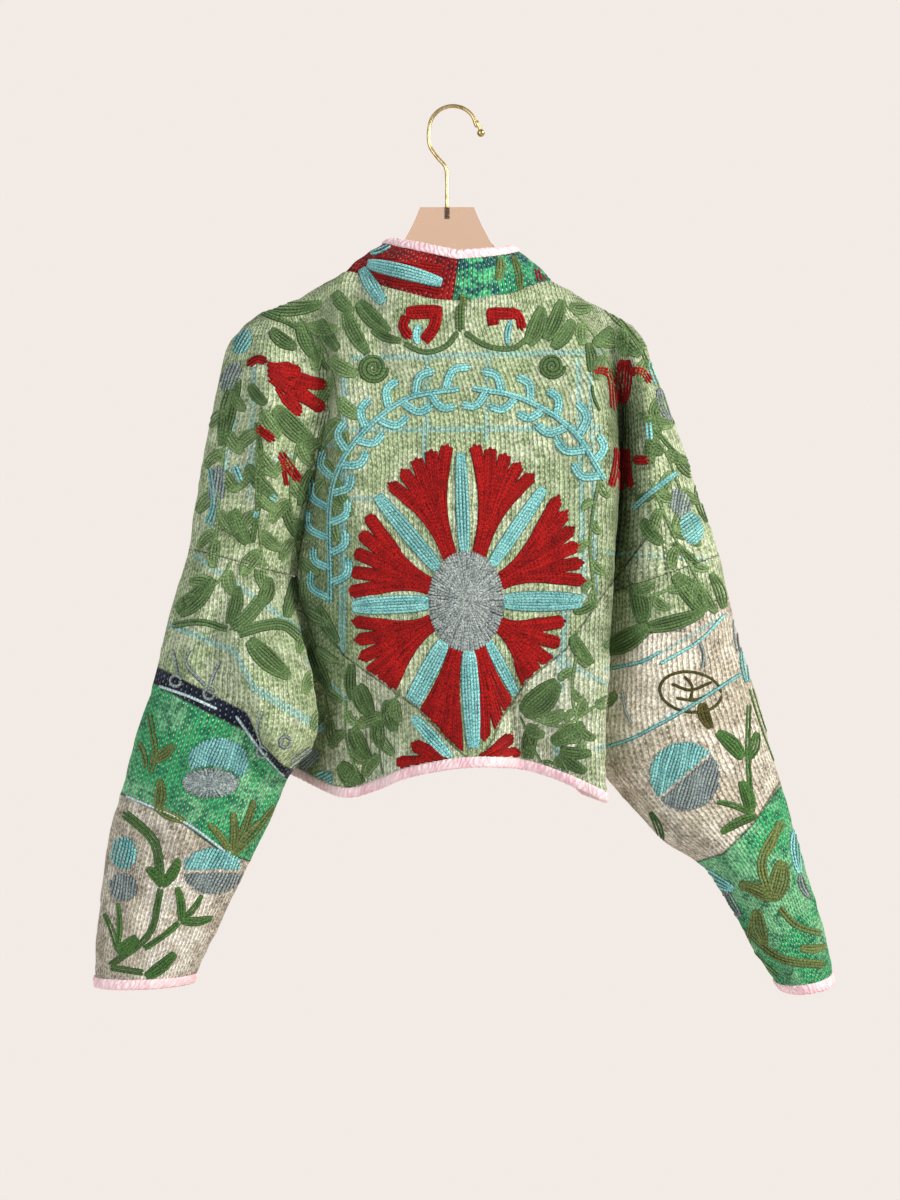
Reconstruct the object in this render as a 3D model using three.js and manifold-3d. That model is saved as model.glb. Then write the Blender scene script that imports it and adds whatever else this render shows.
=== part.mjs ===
// A cropped suzani jacket on its clear hanger, in millimetres, +Z up.
// The origin is the inside top of the hanger's hook, where a peg holds it. -Y is the jacket's
// back, +Y its front, and +X the wearer's right. The quilted cloth is a thin wall lofted through
// level sections of the trunk and the arms, and each cut piece is a solid of its own.
import * as THREE from "three";
import { mergeVertices } from "three/addons/utils/BufferGeometryUtils.js";
import Module from "manifold-3d";

const wasm = await Module();
wasm.setup();

// Cloth and binding
const CLOTH = 2.5; // quilted cotton with its stitching
const SEAM = 0.3; // gap between two pieces at a seam
const BIND_LAP = 9; // how far the binding reaches onto the cloth
const BIND_WALL = 1.2;
const BIND_OUT = SEAM + BIND_WALL;

// Levels run down the garment: 0 is the shoulder and neck seam, 6 the armhole seam, 11 the hem
// and 17 the cuff. One level is about this far from the next at the two edges.
const ARMHOLE = 6;
const HEM = 11;
const CUFF = 17;
const HEM_LEVEL_SIZE = 31;
const CUFF_LEVEL_SIZE = 29;

// Cells of the walls
const ARM_CELLS = 8; // round half an arm
const BACK_CELLS = 18; // across the trunk's back, three to each stretch between stations
const FRONT_CELLS = 9; // across one front, three to a stretch
const COLLAR_ROWS = [0, 0.28, 0.56, 0.82, 1];
const UPPER_ROWS = [0, 0.12, 0.4, 0.8, 1.4, 2.1, 2.9, 3.7, 4.5, 5.3, ARMHOLE];
const LOWER_ROWS = [6.8, 7.6, 8.4, 9.2, 10, HEM - BIND_LAP / HEM_LEVEL_SIZE, HEM];
const SLEEVE_ROWS = [6.7, 7.4, 8.1, 8.8, 9.5, 10.2, 10.9, 11.6, 12.4, 13.2, 14, 14.8, 15.6, 16.2];
const SLEEVE_START = ARMHOLE + 0.012; // leaves the seam's gap under the armhole
const UNDERARM_GAP = 0.8; // between a sleeve's inner edge and the trunk where they part

// Arms, from the hanger's tip to the cuff. "out" is the edge that shows as the outline and "in"
// the valley beside the trunk, then the underarm and the sleeve's inner edge. "back" and "front"
// are how far the two sides swell past the line from out to in. "soft" is 1 where the inner end
// runs on smoothly into the trunk and 0 where it rounds off.
const ARM_COLUMNS = [
  ...["outX", "outY", "outZ", "inX", "inZ"],
  ...["inBack", "inFront", "back", "front", "soft"],
];
const LEFT_ARM = table(ARM_COLUMNS, [
  [-191, 0, -205, -153, -190, 0, 0, 0, 0, 1],
  [-213, 0, -223, -141, -212, -20, 18, 12, 12, 1],
  [-227, -2, -247, -129, -245, -28, 24, 28, 22, 0.9],
  [-237, -5, -290, -122, -290, -30, 26, 40, 30, 0.8],
  [-247, -8, -340, -130, -340, -26, 24, 46, 34, 0.7],
  [-255, -10, -392, -145, -400, -13, 15, 50, 36, 0.35],
  [-261, -12, -440, -158, -468, 2, 2, 52, 38, 0],
  [-273, -16, -484, -150, -517, -20, -20, 52, 38, 0],
  [-285, -20, -524, -138, -564, -42, -42, 52, 38, 0],
  [-296, -24, -576, -130, -604, -56, -56, 50, 38, 0],
  [-308, -26, -612, -135, -632, -60, -60, 46, 38, 0],
  [-317, -28, -645, -152, -652, -56, -56, 43, 38, 0],
  [-326, -30, -680, -167, -680, -50, -50, 42, 38, 0],
  [-338, -30, -724, -183, -717, -44, -44, 40, 36, 0],
  [-346, -30, -775, -206, -763, -40, -40, 36, 34, 0],
  [-350, -30, -815, -228, -812, -36, -36, 33, 32, 0],
  [-352, -30, -845, -243, -840, -34, -34, 31, 30, 0],
  [-352, -30, -870, -254, -866, -33, -33, 30, 30, 0],
]);
const RIGHT_ARM = table(ARM_COLUMNS, [
  [179, 0, -218, 147, -200, 0, 0, 0, 0, 1],
  [190, 0, -234, 154, -221, -18, 18, 12, 12, 0.8],
  [201, 2, -262, 162, -252, -18, 24, 26, 18, 0.6],
  [216, 4, -300, 168, -295, -10, 28, 36, 22, 0.5],
  [232, 6, -345, 168, -345, -2, 28, 42, 26, 0.4],
  [248, 8, -395, 164, -405, 8, 26, 48, 30, 0.2],
  [267, 10, -446, 154, -485, 20, 20, 52, 34, 0],
  [277, 12, -487, 152, -540, 22, 22, 54, 34, 0],
  [287, 14, -527, 147, -590, 24, 24, 54, 36, 0],
  [298, 16, -565, 143, -632, 26, 26, 54, 38, 0],
  [310, 18, -602, 150, -664, 24, 24, 52, 40, 0],
  [321, 20, -644, 173, -694, 18, 18, 50, 42, 0],
  [334, 20, -685, 205, -728, 12, 12, 50, 44, 0],
  [344, 18, -727, 241, -752, 8, 8, 50, 46, 0],
  [355, 16, -764, 260, -772, 5, 5, 48, 46, 0],
  [367, 14, -804, 282, -808, 2, 2, 46, 45, 0],
  [375, 12, -840, 304, -848, 0, 0, 45, 44, 0],
  [381, 10, -872, 326, -880, 0, 0, 44, 44, 0],
]);

// Side seams, from the underarm to the hem.
const SIDE_COLUMNS = ["x", "y", "z"];
const LEFT_SIDE = table(SIDE_COLUMNS, [
  [-158, 2, -468],
  [-161, 22, -512],
  [-165, 32, -556],
  [-168, 37, -600],
  [-168, 38, -640],
  [-167, 38, -668],
]);
const RIGHT_SIDE = table(SIDE_COLUMNS, [
  [154, 20, -485],
  [143, 30, -530],
  [135, 34, -575],
  [131, 36, -615],
  [131, 36, -655],
  [133, 36, -688],
]);

// The trunk, level by level: how far down the centre back, then the back's left ridge, middle
// stations and right ridge, which is the sharp fold beside the right sleeve.
const BACK = table(
  ["down", "leftX", "leftY", "midLeftY", "centreY", "midRightY", "rightX", "rightY"],
  [
    [0, -108, 0, -44, -52, -44, 99, 0],
    [22, -112, -26, -50, -56, -50, 105, -26],
    [58, -114, -42, -54, -59, -55, 122, -44],
    [102, -112, -50, -58, -62, -60, 144, -56],
    [150, -110, -53, -61, -65, -65, 151, -62],
    [204, -109, -54, -64, -68, -70, 152, -66],
    [262, -108, -52, -66, -71, -73, 150, -68],
    [305, -108, -48, -67, -73, -74, 148, -70],
    [348, -106, -42, -66, -75, -73, 147, -72],
    [390, -104, -34, -62, -77, -68, 144, -74],
    [426, -102, -26, -60, -78, -62, 143, -76],
    [456, -102, -20, -60, -78, -60, 144, -78],
  ],
);
const BACK_TOP_Z = { left: -164, midLeft: -189, centre: -200, midRight: -193, right: -174 };
const BACK_HEM_Z = { left: -686, midLeft: -662, centre: -651, midRight: -660, right: -683 };

// Each front: its outer ridge, middle and open edge. x is given for the left front, from the
// middle line, and mirrored for the right.
const MIDDLE_X = -6;
const FRONT = table(
  ["ridgeX", "ridgeY", "midX", "midY", "openX", "openY"],
  [
    [102, 0, 60, 42, 5, 55],
    [106, 24, 62, 44, 5, 55],
    [108, 36, 62, 46, 5.5, 54],
    [108, 42, 62, 48, 6, 53],
    [110, 44, 63, 49, 7, 53],
    [112, 46, 64, 50, 8, 53],
    [116, 48, 66, 52, 9, 54],
    [118, 51, 67, 54, 10, 55],
    [118, 54, 68, 56, 11, 56],
    [118, 57, 68, 58, 12, 57],
    [118, 58, 68, 59, 13, 58],
    [118, 58, 68, 59, 14, 58],
  ],
);
const FRONT_TOP_Z = { ridge: [-164, -174], mid: [-178, -182], open: [-186, -187] };
const FRONT_HEM_Z = { ridge: [-670, -672], mid: [-662, -654], open: [-649, -648] };

// The stand collar's upper edge, at the same stations as the neck seam below it.
const COLLAR_TOP = {
  backLeft: point(-63, 2, -131),
  backMidLeft: point(-36, -32, -141),
  backCentre: point(5, -47, -152),
  backMidRight: point(38, -33, -147),
  backRight: point(59, 2, -138),
  frontMid: [point(-46, 38, -134), point(36, 38, -137)],
  frontOpen: [point(-11.5, 53, -136), point(-0.5, 53, -136)],
};
const COLLAR_SWELL = 4; // the stand bows out between its seam and its edge
const COLLAR_RISE = 0.5; // keeps the seam's gap all round, where the two walls meet at an angle

// Folds: lines in the view from behind, with how far they push the cloth in (+) or out (-).
const FOLDS = {
  back: [
    { from: [-74, -575], to: [-80, -700], wide: 13, deep: 15 },
    { from: [-118, -640], to: [-112, -700], wide: 12, deep: -8 },
    { from: [52, -560], to: [68, -690], wide: 12, deep: 13 },
    { from: [105, -560], to: [108, -700], wide: 20, deep: -9 },
    { from: [-95, -185], to: [-52, -300], wide: 12, deep: 5 },
    { from: [88, -195], to: [62, -320], wide: 13, deep: 5 },
    { from: [-100, -545], to: [-20, -600], wide: 16, deep: -6 },
    { from: [18, -300], to: [2, -560], wide: 30, deep: -4 },
  ],
  leftBack: [
    { from: [-172, -205], to: [-150, -330], wide: 12, deep: 7 },
    { from: [-205, -225], to: [-212, -400], wide: 16, deep: 6 },
    { from: [-176, -270], to: [-182, -440], wide: 13, deep: -6 },
    { from: [-216, -455], to: [-232, -560], wide: 16, deep: 7 },
    { from: [-300, -700], to: [-230, -735], wide: 14, deep: -5 },
    { from: [-336, -760], to: [-262, -800], wide: 16, deep: 5 },
  ],
  rightBack: [
    { from: [178, -240], to: [196, -420], wide: 10, deep: -6 },
    { from: [214, -300], to: [232, -470], wide: 13, deep: 6 },
    { from: [190, -520], to: [268, -560], wide: 16, deep: 6 },
    { from: [180, -640], to: [262, -600], wide: 18, deep: -6 },
    { from: [240, -700], to: [312, -660], wide: 16, deep: 6 },
    { from: [290, -770], to: [352, -780], wide: 14, deep: -4 },
  ],
  front: [
    { from: [-100, -330], to: [-84, -660], wide: 18, deep: -8 },
    { from: [-58, -420], to: [-52, -690], wide: 16, deep: 7 },
    { from: [92, -330], to: [78, -660], wide: 18, deep: -8 },
    { from: [52, -420], to: [44, -690], wide: 16, deep: 7 },
  ],
  leftFront: [
    { from: [-180, -240], to: [-205, -420], wide: 16, deep: -8 },
    { from: [-285, -560], to: [-190, -640], wide: 18, deep: -8 },
    { from: [-320, -700], to: [-230, -740], wide: 16, deep: -6 },
  ],
  rightFront: [
    { from: [176, -250], to: [200, -430], wide: 16, deep: -8 },
    { from: [280, -560], to: [190, -620], wide: 18, deep: -8 },
    { from: [320, -690], to: [240, -720], wide: 16, deep: -6 },
  ],
};
// The left sleeve's spare cloth hangs over its lower half: a step down from the pouch's lip.
const POUCH = { from: [-226, -508], to: [-163, -668], out: 12, under: 11, reach: 34, lip: 5 };

// Hanger
const HANGER_THICK = 8;
const HANGER_BELOW_CLOTH = 5.5; // from the cloth's outer face down to the plate's edge
// The plate's throat, from the shoulder up to the hook: offsets from the stem, and heights.
const THROAT_LEFT = [
  [-84, -169.5],
  [-66, -157],
  [-52, -146],
  [-43, -134],
  [-35, -119],
  [-30, -108],
];
const THROAT_RIGHT = [
  [86, -179.5],
  [70, -163],
  [54, -148],
  [43, -134],
  [35, -119],
  [30, -108],
];
const THROAT_TOP = 26.8;
const HOOK_WIRE = 2; // radius
const HOOK_RADIUS = 24; // to the middle of the wire
const STEM_X = -6;
const PLATE_TOP = -100;
const SOCKET = { radius: 2.8, bore: 3.1, depth: 11, sides: 16 };
const BALL_RADIUS = 4;
const HOOK_END = { x: 28, z: -23, ballZ: -25, turnZ: -14 };
const HOOK_STEPS = 52;
const HOOK_SIDES = 5; // round half the wire, as the curve tool counts them
const [BALL_SIDES, BALL_RINGS] = [14, 10];
const STEM_Z = -70; // from here the wire runs straight down
const HOOK_ARC = [10, 35, 60, 90, 120, 150, 180]; // degrees round the crown
const HOOK_NECK = [
  [-23, -38],
  [-15, -50],
  [-7.5, -59],
];

// Back seams of the lower side pieces, as they run in the view from behind.
const LEFT_LOWER_SEAM = [
  [-230, -505],
  [-108, -544],
  [-57, -581],
  [-35, -597],
  [0, -633],
  [14, -651],
  [14, -720],
];
const RIGHT_LOWER_SEAM = [
  [260, -470],
  [145, -490],
  [96, -550],
  [70, -572],
  [47, -606],
  [38, -626],
  [26, -651],
  [26, -720],
];

function point(x, y, z) {
  return new THREE.Vector3(x, y, z);
}

// A table with named columns, read between its rows on a smooth curve.
function table(columns, rows) {
  const read = {};
  columns.forEach((name, c) => {
    const values = rows.map((row) => row[c]);
    read[name] = (level) => smooth(values, level);
  });
  return read;
}

// Cubic through equally spaced values.
function smooth(values, at) {
  const last = values.length - 1;
  const i = Math.min(Math.max(Math.floor(at), 0), last - 1);
  const f = Math.min(Math.max(at - i, 0), 1);
  const before = values[Math.max(i - 1, 0)];
  const after = values[Math.min(i + 2, last)];
  const slopeA = (values[i + 1] - before) / (i > 0 ? 2 : 1);
  const slopeB = (after - values[i]) / (i + 2 <= last ? 2 : 1);
  return (
    values[i] * (2 * f ** 3 - 3 * f ** 2 + 1) +
    slopeA * (f ** 3 - 2 * f ** 2 + f) +
    values[i + 1] * (3 * f ** 2 - 2 * f ** 3) +
    slopeB * (f ** 3 - f ** 2)
  );
}

const mix = THREE.MathUtils.lerp;
const clamp = THREE.MathUtils.clamp;

// Over the shoulder the cloth rounds off: a depth grows as a quarter circle down to level 1.
function rounded(column, level) {
  if (level >= 1) return column(level);
  const share = Math.sqrt(Math.max(level * (2 - level), 0));
  return mix(column(0), column(1), share);
}

// How far a set of folds moves a point along Y, for its place in the view from behind.
function foldDepth(folds, x, z) {
  let push = 0;
  for (const fold of folds) {
    const [ax, az] = fold.from;
    const [bx, bz] = fold.to;
    const [dx, dz] = [bx - ax, bz - az];
    const along = ((x - ax) * dx + (z - az) * dz) / (dx * dx + dz * dz);
    const reach = clamp(along, 0, 1);
    const away = Math.hypot(x - ax - reach * dx, z - az - reach * dz);
    const fade = Math.sin(Math.PI * clamp(reach * 0.8 + 0.1, 0, 1));
    push += fold.deep * fade * Math.exp(-((away / fold.wide) ** 2));
  }
  return push;
}

// The pouch's overhang: cloth on its side of the lip stands out, and past the lip it drops in.
function pouchDepth(x, z) {
  const [ax, az] = POUCH.from;
  const [bx, bz] = POUCH.to;
  const length = Math.hypot(bx - ax, bz - az);
  const [ux, uz] = [(bx - ax) / length, (bz - az) / length];
  const along = ((x - ax) * ux + (z - az) * uz) / length;
  const across = -(x - ax) * uz + (z - az) * ux; // + on the pouch's side
  const start = Math.sin((Math.PI / 2) * clamp(along * 1.6 + 0.15, 0, 1));
  const fade = start * clamp(5 - 4 * along, 0, 1);
  const side = across / Math.sqrt(across ** 2 + POUCH.lip ** 2);
  const height = side > 0 ? -POUCH.out : POUCH.under;
  return height * Math.abs(side) * fade * Math.exp(-((across / POUCH.reach) ** 2));
}

// A point of an arm. around is 0 at the outer edge and 1 at the inner one; side is -1 behind and 1
// in front.
function armPoint(hand, level, around, side) {
  const arm = hand < 0 ? LEFT_ARM : RIGHT_ARM;
  const isBack = side < 0;
  const across = (1 - Math.cos(Math.PI * around)) / 2;
  const soft = around > 0.5 ? clamp(arm.soft(level), 0, 1) : 0;
  const swell = mix(Math.sin(Math.PI * around), Math.sin(Math.PI * across) ** 2, soft);
  const inY = rounded(isBack ? arm.inBack : arm.inFront, level);
  const depth = rounded(isBack ? arm.back : arm.front, level);
  const spot = point(
    mix(arm.outX(level), arm.inX(level), across),
    mix(arm.outY(level), inY, across) + side * swell * depth,
    mix(arm.outZ(level), arm.inZ(level), across),
  );
  const inside = Math.sin(Math.PI * around) * clamp(level, 0, 1);
  if (isBack) {
    spot.y += inside * foldDepth(hand < 0 ? FOLDS.leftBack : FOLDS.rightBack, spot.x, spot.z);
    if (hand < 0 && level > ARMHOLE) {
      const lip = Math.min(1, 3 * Math.sin(Math.PI * around));
      spot.y += lip * pouchDepth(spot.x, spot.z);
    }
  } else {
    spot.y -= inside * foldDepth(hand < 0 ? FOLDS.leftFront : FOLDS.rightFront, spot.x, spot.z);
  }
  return spot;
}

// The trunk's edge at a level: the valley beside an arm, then the side seam.
function trunkEdge(hand, level, side) {
  if (level > ARMHOLE) {
    const seam = hand < 0 ? LEFT_SIDE : RIGHT_SIDE;
    return point(seam.x(level - ARMHOLE), seam.y(level - ARMHOLE), seam.z(level - ARMHOLE));
  }
  return armPoint(hand, level, 1, side);
}

// A row across the back has six equal stretches between its stations, one across a front three.
// At the shoulder the outermost stretch is the seam and the others run round the neck.
const BACK_STRETCHES = 6;
const FRONT_STRETCHES = 3;

// A point on the smooth curve through stations, with the first stretch straight at the shoulder.
function alongStations(stations, share, level) {
  const curve = new THREE.CatmullRomCurve3(stations, false, "centripetal");
  const spot = curve.getPoint(share);
  const stretches = stations.length - 1;
  const straight = (a, b, f) => {
    const line = stations[a].clone().lerp(stations[b], f);
    spot.lerp(line, (1 - clamp(level, 0, 1)) ** 2);
  };
  if (share * stretches < 1) straight(0, 1, share * stretches);
  if (stretches === BACK_STRETCHES && share * stretches > stretches - 1) {
    straight(stretches, stretches - 1, (1 - share) * stretches);
  }
  return spot;
}

function backPoint(level, share) {
  const drop = BACK.down(level) / BACK.down(HEM);
  const z = (name) => mix(BACK_TOP_Z[name], BACK_HEM_Z[name], drop);
  const [leftX, rightX] = [BACK.leftX(level), BACK.rightX(level)];
  const stations = [
    trunkEdge(-1, level, -1),
    point(leftX, rounded(BACK.leftY, level), z("left")),
    point(mix(leftX, rightX, 0.25), rounded(BACK.midLeftY, level), z("midLeft")),
    point(mix(leftX, rightX, 0.52), rounded(BACK.centreY, level), z("centre")),
    point(mix(leftX, rightX, 0.77), rounded(BACK.midRightY, level), z("midRight")),
    point(rightX, rounded(BACK.rightY, level), z("right")),
    trunkEdge(1, level, -1),
  ];
  const spot = alongStations(stations, share, level);
  const inside = Math.min(1, 6 * share, 6 * (1 - share)) * clamp(level, 0, 1);
  spot.y += inside * foldDepth(FOLDS.back, spot.x, spot.z);
  return spot;
}

// share is 0 at the side and 1 at the open edge.
function frontPoint(hand, level, share) {
  const drop = BACK.down(level) / BACK.down(HEM);
  const which = hand < 0 ? 0 : 1;
  const z = (name) => mix(FRONT_TOP_Z[name][which], FRONT_HEM_Z[name][which], drop);
  const stations = [
    trunkEdge(hand, level, 1),
    point(MIDDLE_X + hand * FRONT.ridgeX(level), rounded(FRONT.ridgeY, level), z("ridge")),
    point(MIDDLE_X + hand * FRONT.midX(level), rounded(FRONT.midY, level), z("mid")),
    point(MIDDLE_X + hand * FRONT.openX(level), rounded(FRONT.openY, level), z("open")),
  ];
  if (level < 1) {
    const neck = hand < 0 ? BACK.leftX(level) : BACK.rightX(level);
    stations[1].x = mix(neck, stations[1].x, level);
  }
  const spot = alongStations(stations, share, level);
  const inside = Math.min(1, 4 * share, 3 * (1 - share)) * clamp(level, 0, 1);
  spot.y -= inside * foldDepth(FOLDS.front, spot.x, spot.z);
  return spot;
}

// The share across a front at which its binding's lap ends.
function frontLap(hand, level) {
  const edge = frontPoint(hand, level, 1);
  const stretch = frontPoint(hand, level, 1 - 1 / FRONT_STRETCHES).distanceTo(edge);
  return 1 - BIND_LAP / stretch / FRONT_STRETCHES;
}

// The collar runs from a front's open edge (0) round to the centre back (1). Its lower edge is the
// neck seam: six cells over the front, six over the back.
const COLLAR_FRONT_SHARE = 0.5;
const COLLAR_CELLS = 12;
function neckPoint(hand, round, level = 0) {
  if (round <= COLLAR_FRONT_SHARE) {
    return frontPoint(hand, level, mix(1, 1 / FRONT_STRETCHES, round / COLLAR_FRONT_SHARE));
  }
  const behind = (round - COLLAR_FRONT_SHARE) / (1 - COLLAR_FRONT_SHARE);
  const share = mix(1 / BACK_STRETCHES, 1 / 2, behind);
  return backPoint(level, hand < 0 ? share : 1 - share);
}

function collarPoint(hand, up, round) {
  const which = hand < 0 ? 0 : 1;
  const top = [
    COLLAR_TOP.frontOpen[which],
    COLLAR_TOP.frontMid[which],
    hand < 0 ? COLLAR_TOP.backLeft : COLLAR_TOP.backRight,
    hand < 0 ? COLLAR_TOP.backMidLeft : COLLAR_TOP.backMidRight,
    COLLAR_TOP.backCentre,
  ];
  const edge = new THREE.CatmullRomCurve3(top, false, "centripetal").getPoint(round);
  const seam = neckPoint(hand, round);
  seam.z += COLLAR_RISE;
  const spot = seam.clone().lerp(edge, up);
  const outward = point(edge.x - MIDDLE_X, edge.y, 0).normalize();
  return spot.addScaledVector(outward, COLLAR_SWELL * Math.sin(Math.PI * up));
}

// Outward normal of a surface at u, v, from the points one cell away on each side. That is as far
// as the walls' own facets reach, so an offset wall never crosses itself at a fold.
function normalOf(surface, u, v, step, range, sense) {
  const low = (value, axis) => Math.max(value - step[axis], range[axis][0]);
  const high = (value, axis) => Math.min(value + step[axis], range[axis][1]);
  const du = surface(high(u, 0), v).sub(surface(low(u, 0), v));
  const dv = surface(u, high(v, 1)).sub(surface(u, low(v, 1)));
  return du.cross(dv).normalize().multiplyScalar(sense);
}

const LEVEL_STEP = 0.3;
const TRUNK_RANGE = [[0, HEM], [0, 1]];
const UNIT_RANGE = [[0, 1], [0, 1]];
const armNormal = (hand, level, around, side) =>
  normalOf(
    (l, a) => armPoint(hand, l, a, side),
    level,
    around,
    [LEVEL_STEP, 1 / ARM_CELLS],
    [[0, CUFF], [0, 1]],
    hand * side,
  );
const backNormal = (level, share) =>
  normalOf(backPoint, level, share, [LEVEL_STEP, 1 / BACK_CELLS], TRUNK_RANGE, 1);
const frontNormal = (hand, level, share) =>
  normalOf(
    (l, s) => frontPoint(hand, l, s),
    level,
    share,
    [LEVEL_STEP, 1 / FRONT_CELLS],
    TRUNK_RANGE,
    hand,
  );
const collarNormal = (hand, up, round) =>
  normalOf((u, r) => collarPoint(hand, u, r), up, round, [0.25, 1 / COLLAR_CELLS], UNIT_RANGE, hand);

const TINY = 1e-9;
const between = (a, b) => a.clone().add(b).normalize();

// A wall vertex: its outer point and its outward normal.
function vertex(spot, normal, shiftY = 0) {
  spot.y += shiftY;
  return { spot, normal };
}

// Vertices of the half of an arm's wall. Where back and front meet they share a normal and part by
// half the seam's gap each.
function armVertex(hand, level, around, side) {
  let normal = armNormal(hand, level, around, side);
  let shift = 0;
  const atSeam = around === 0 || level === 0 || (around === 1 && level >= ARMHOLE);
  if (atSeam) {
    normal = between(normal, armNormal(hand, level, around, -side));
    shift = (side * SEAM) / 2;
  }
  return vertex(armPoint(hand, level, around, side), normal, shift);
}

function backVertex(level, share) {
  const hand = share < 0.5 ? -1 : 1;
  const fromSide = share < 0.5 ? share : 1 - share;
  let normal = backNormal(level, share);
  const onShoulder = level === 0 && fromSide * BACK_STRETCHES <= 1 + TINY;
  const onSide = fromSide === 0 && level >= ARMHOLE;
  if (fromSide === 0 && level < ARMHOLE) {
    normal = between(normal, armNormal(hand, level, 1, -1));
  }
  if (onShoulder || onSide) {
    const other = frontNormal(hand, level, fromSide * 2);
    normal = between(normal, other);
  }
  return vertex(backPoint(level, share), normal, onShoulder || onSide ? -SEAM / 2 : 0);
}

function frontVertex(hand, level, share) {
  let normal = frontNormal(hand, level, share);
  const onShoulder = level === 0 && share * FRONT_STRETCHES <= 1 + TINY;
  const onSide = share === 0 && level >= ARMHOLE;
  if (share === 0 && level < ARMHOLE) {
    normal = between(normal, armNormal(hand, level, 1, 1));
  }
  if (onShoulder || onSide) {
    const backShare = hand < 0 ? share / 2 : 1 - share / 2;
    normal = between(normal, backNormal(level, backShare));
  }
  return vertex(frontPoint(hand, level, share), normal, onShoulder || onSide ? SEAM / 2 : 0);
}

// A closed wall of cloth over a grid of vertices. A row holds null where the cut has no cloth.
function wall(grid, wrap = false) {
  const positions = [];
  const rows = grid.length;
  const columns = grid[0].length;
  const column = (j) => (wrap ? j % columns : j);
  const at = (i, j, layer) => {
    const { spot, normal } = grid[i][column(j)];
    return layer ? spot.clone().addScaledVector(normal, -CLOTH) : spot;
  };
  const cell = (i, j) => {
    if (i < 0 || i >= rows - 1 || j < 0 || j >= (wrap ? columns : columns - 1)) return false;
    const corners = [[i, j], [i + 1, j], [i, j + 1], [i + 1, j + 1]];
    return corners.every(([r, c]) => grid[r][column(c)]);
  };
  const quad = (a, b, c, d) => {
    for (const p of [a, b, c, a, c, d]) positions.push(p.x, p.y, p.z);
  };
  const sides = [
    [[0, -1], [0, 0], [1, 0]],
    [[0, 1], [1, 1], [0, 1]],
    [[-1, 0], [0, 1], [0, 0]],
    [[1, 0], [1, 0], [1, 1]],
  ];
  for (let i = 0; i < rows - 1; i++) {
    for (let j = 0; j < (wrap ? columns : columns - 1); j++) {
      if (!cell(i, j)) continue;
      quad(at(i, j, 0), at(i + 1, j, 0), at(i + 1, j + 1, 0), at(i, j + 1, 0));
      quad(at(i, j, 1), at(i, j + 1, 1), at(i + 1, j + 1, 1), at(i + 1, j, 1));
      for (const [step, a, b] of sides) {
        const next = wrap ? (j + step[1] + columns) % columns : j + step[1];
        if (cell(i + step[0], next)) continue;
        const [p, q] = [[i + a[0], j + a[1]], [i + b[0], j + b[1]]];
        quad(at(...p, 0), at(...p, 1), at(...q, 1), at(...q, 0));
      }
    }
  }
  return closed(positions);
}

const WELD = 1e-4;
function closed(positions) {
  const geometry = new THREE.BufferGeometry();
  geometry.setAttribute("position", new THREE.Float32BufferAttribute(positions, 3));
  return mergeVertices(geometry, WELD);
}

// Cloth folded over an edge. Each rib has the edge vertex, the vertex where the lap ends, and
// whether the wall's cells beside it are split the other way, so that the two lie flat together.
function binding(ribs, isLoop = false) {
  const section = ({ edge, lap }) => {
    const out = edge.spot.clone().sub(lap.spot).normalize();
    const from = (base, depth, reach = 0) =>
      base.spot.clone().addScaledVector(base.normal, depth).addScaledVector(out, reach);
    const inner = -CLOTH - SEAM;
    return [
      from(lap, SEAM),
      from(lap, BIND_OUT),
      from(edge, BIND_OUT),
      from(edge, 0, BIND_OUT),
      from(edge, -CLOTH, BIND_OUT),
      from(edge, inner - BIND_WALL),
      from(lap, inner - BIND_WALL),
      from(lap, inner),
      from(edge, inner, SEAM),
      from(edge, SEAM, SEAM),
    ];
  };
  const rings = ribs.map(section);
  const count = rings[0].length;
  const positions = [];
  const face = (...spots) => spots.forEach((p) => positions.push(p.x, p.y, p.z));
  for (let k = 0; k < (isLoop ? rings.length : rings.length - 1); k++) {
    const next = rings[(k + 1) % rings.length];
    for (let s = 0; s < count; s++) {
      const [a, b] = [rings[k][s], rings[k][(s + 1) % count]];
      const [c, d] = [next[(s + 1) % count], next[s]];
      const startsAtLap = s === 1 || s === 7;
      if (startsAtLap !== Boolean(ribs[k].turned)) face(a, b, c, a, c, d);
      else face(a, b, d, b, c, d);
    }
  }
  if (!isLoop) {
    const end = [
      ...[[0, 1, 2], [0, 2, 9], [9, 2, 3], [9, 3, 8]],
      ...[[8, 3, 4], [8, 4, 5], [8, 5, 6], [8, 6, 7]],
    ];
    for (const [p, q, r] of end) {
      const [first, last] = [rings[0], rings[rings.length - 1]];
      face(first[p], first[r], first[q]);
      face(last[p], last[q], last[r]);
    }
  }
  return outward(closed(positions));
}

// Turns a closed mesh's faces round if they point in.
function outward(geometry) {
  const spots = geometry.attributes.position;
  const index = geometry.index.array;
  const corner = (i) => new THREE.Vector3().fromBufferAttribute(spots, index[i]);
  let volume = 0;
  for (let i = 0; i < index.length; i += 3) {
    volume += corner(i).dot(corner(i + 1).cross(corner(i + 2)));
  }
  if (volume < 0) {
    for (let i = 0; i < index.length; i += 3) [index[i], index[i + 1]] = [index[i + 1], index[i]];
  }
  return geometry;
}

function solidOf(geometry) {
  const bare = geometry.clone();
  bare.deleteAttribute("normal");
  bare.deleteAttribute("uv");
  const merged = mergeVertices(bare, WELD);
  return new wasm.Manifold(
    new wasm.Mesh({
      numProp: 3,
      vertProperties: new Float32Array(merged.attributes.position.array),
      triVerts: new Uint32Array(merged.index.array),
    }),
  );
}

function geometryOf(solid) {
  const mesh = solid.getMesh();
  const geometry = new THREE.BufferGeometry();
  geometry.setAttribute("position", new THREE.BufferAttribute(mesh.vertProperties, 3));
  geometry.setIndex(new THREE.BufferAttribute(mesh.triVerts, 1));
  return geometry;
}

const steps = (count) => Array.from({ length: count + 1 }, (_, i) => i / count);

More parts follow.
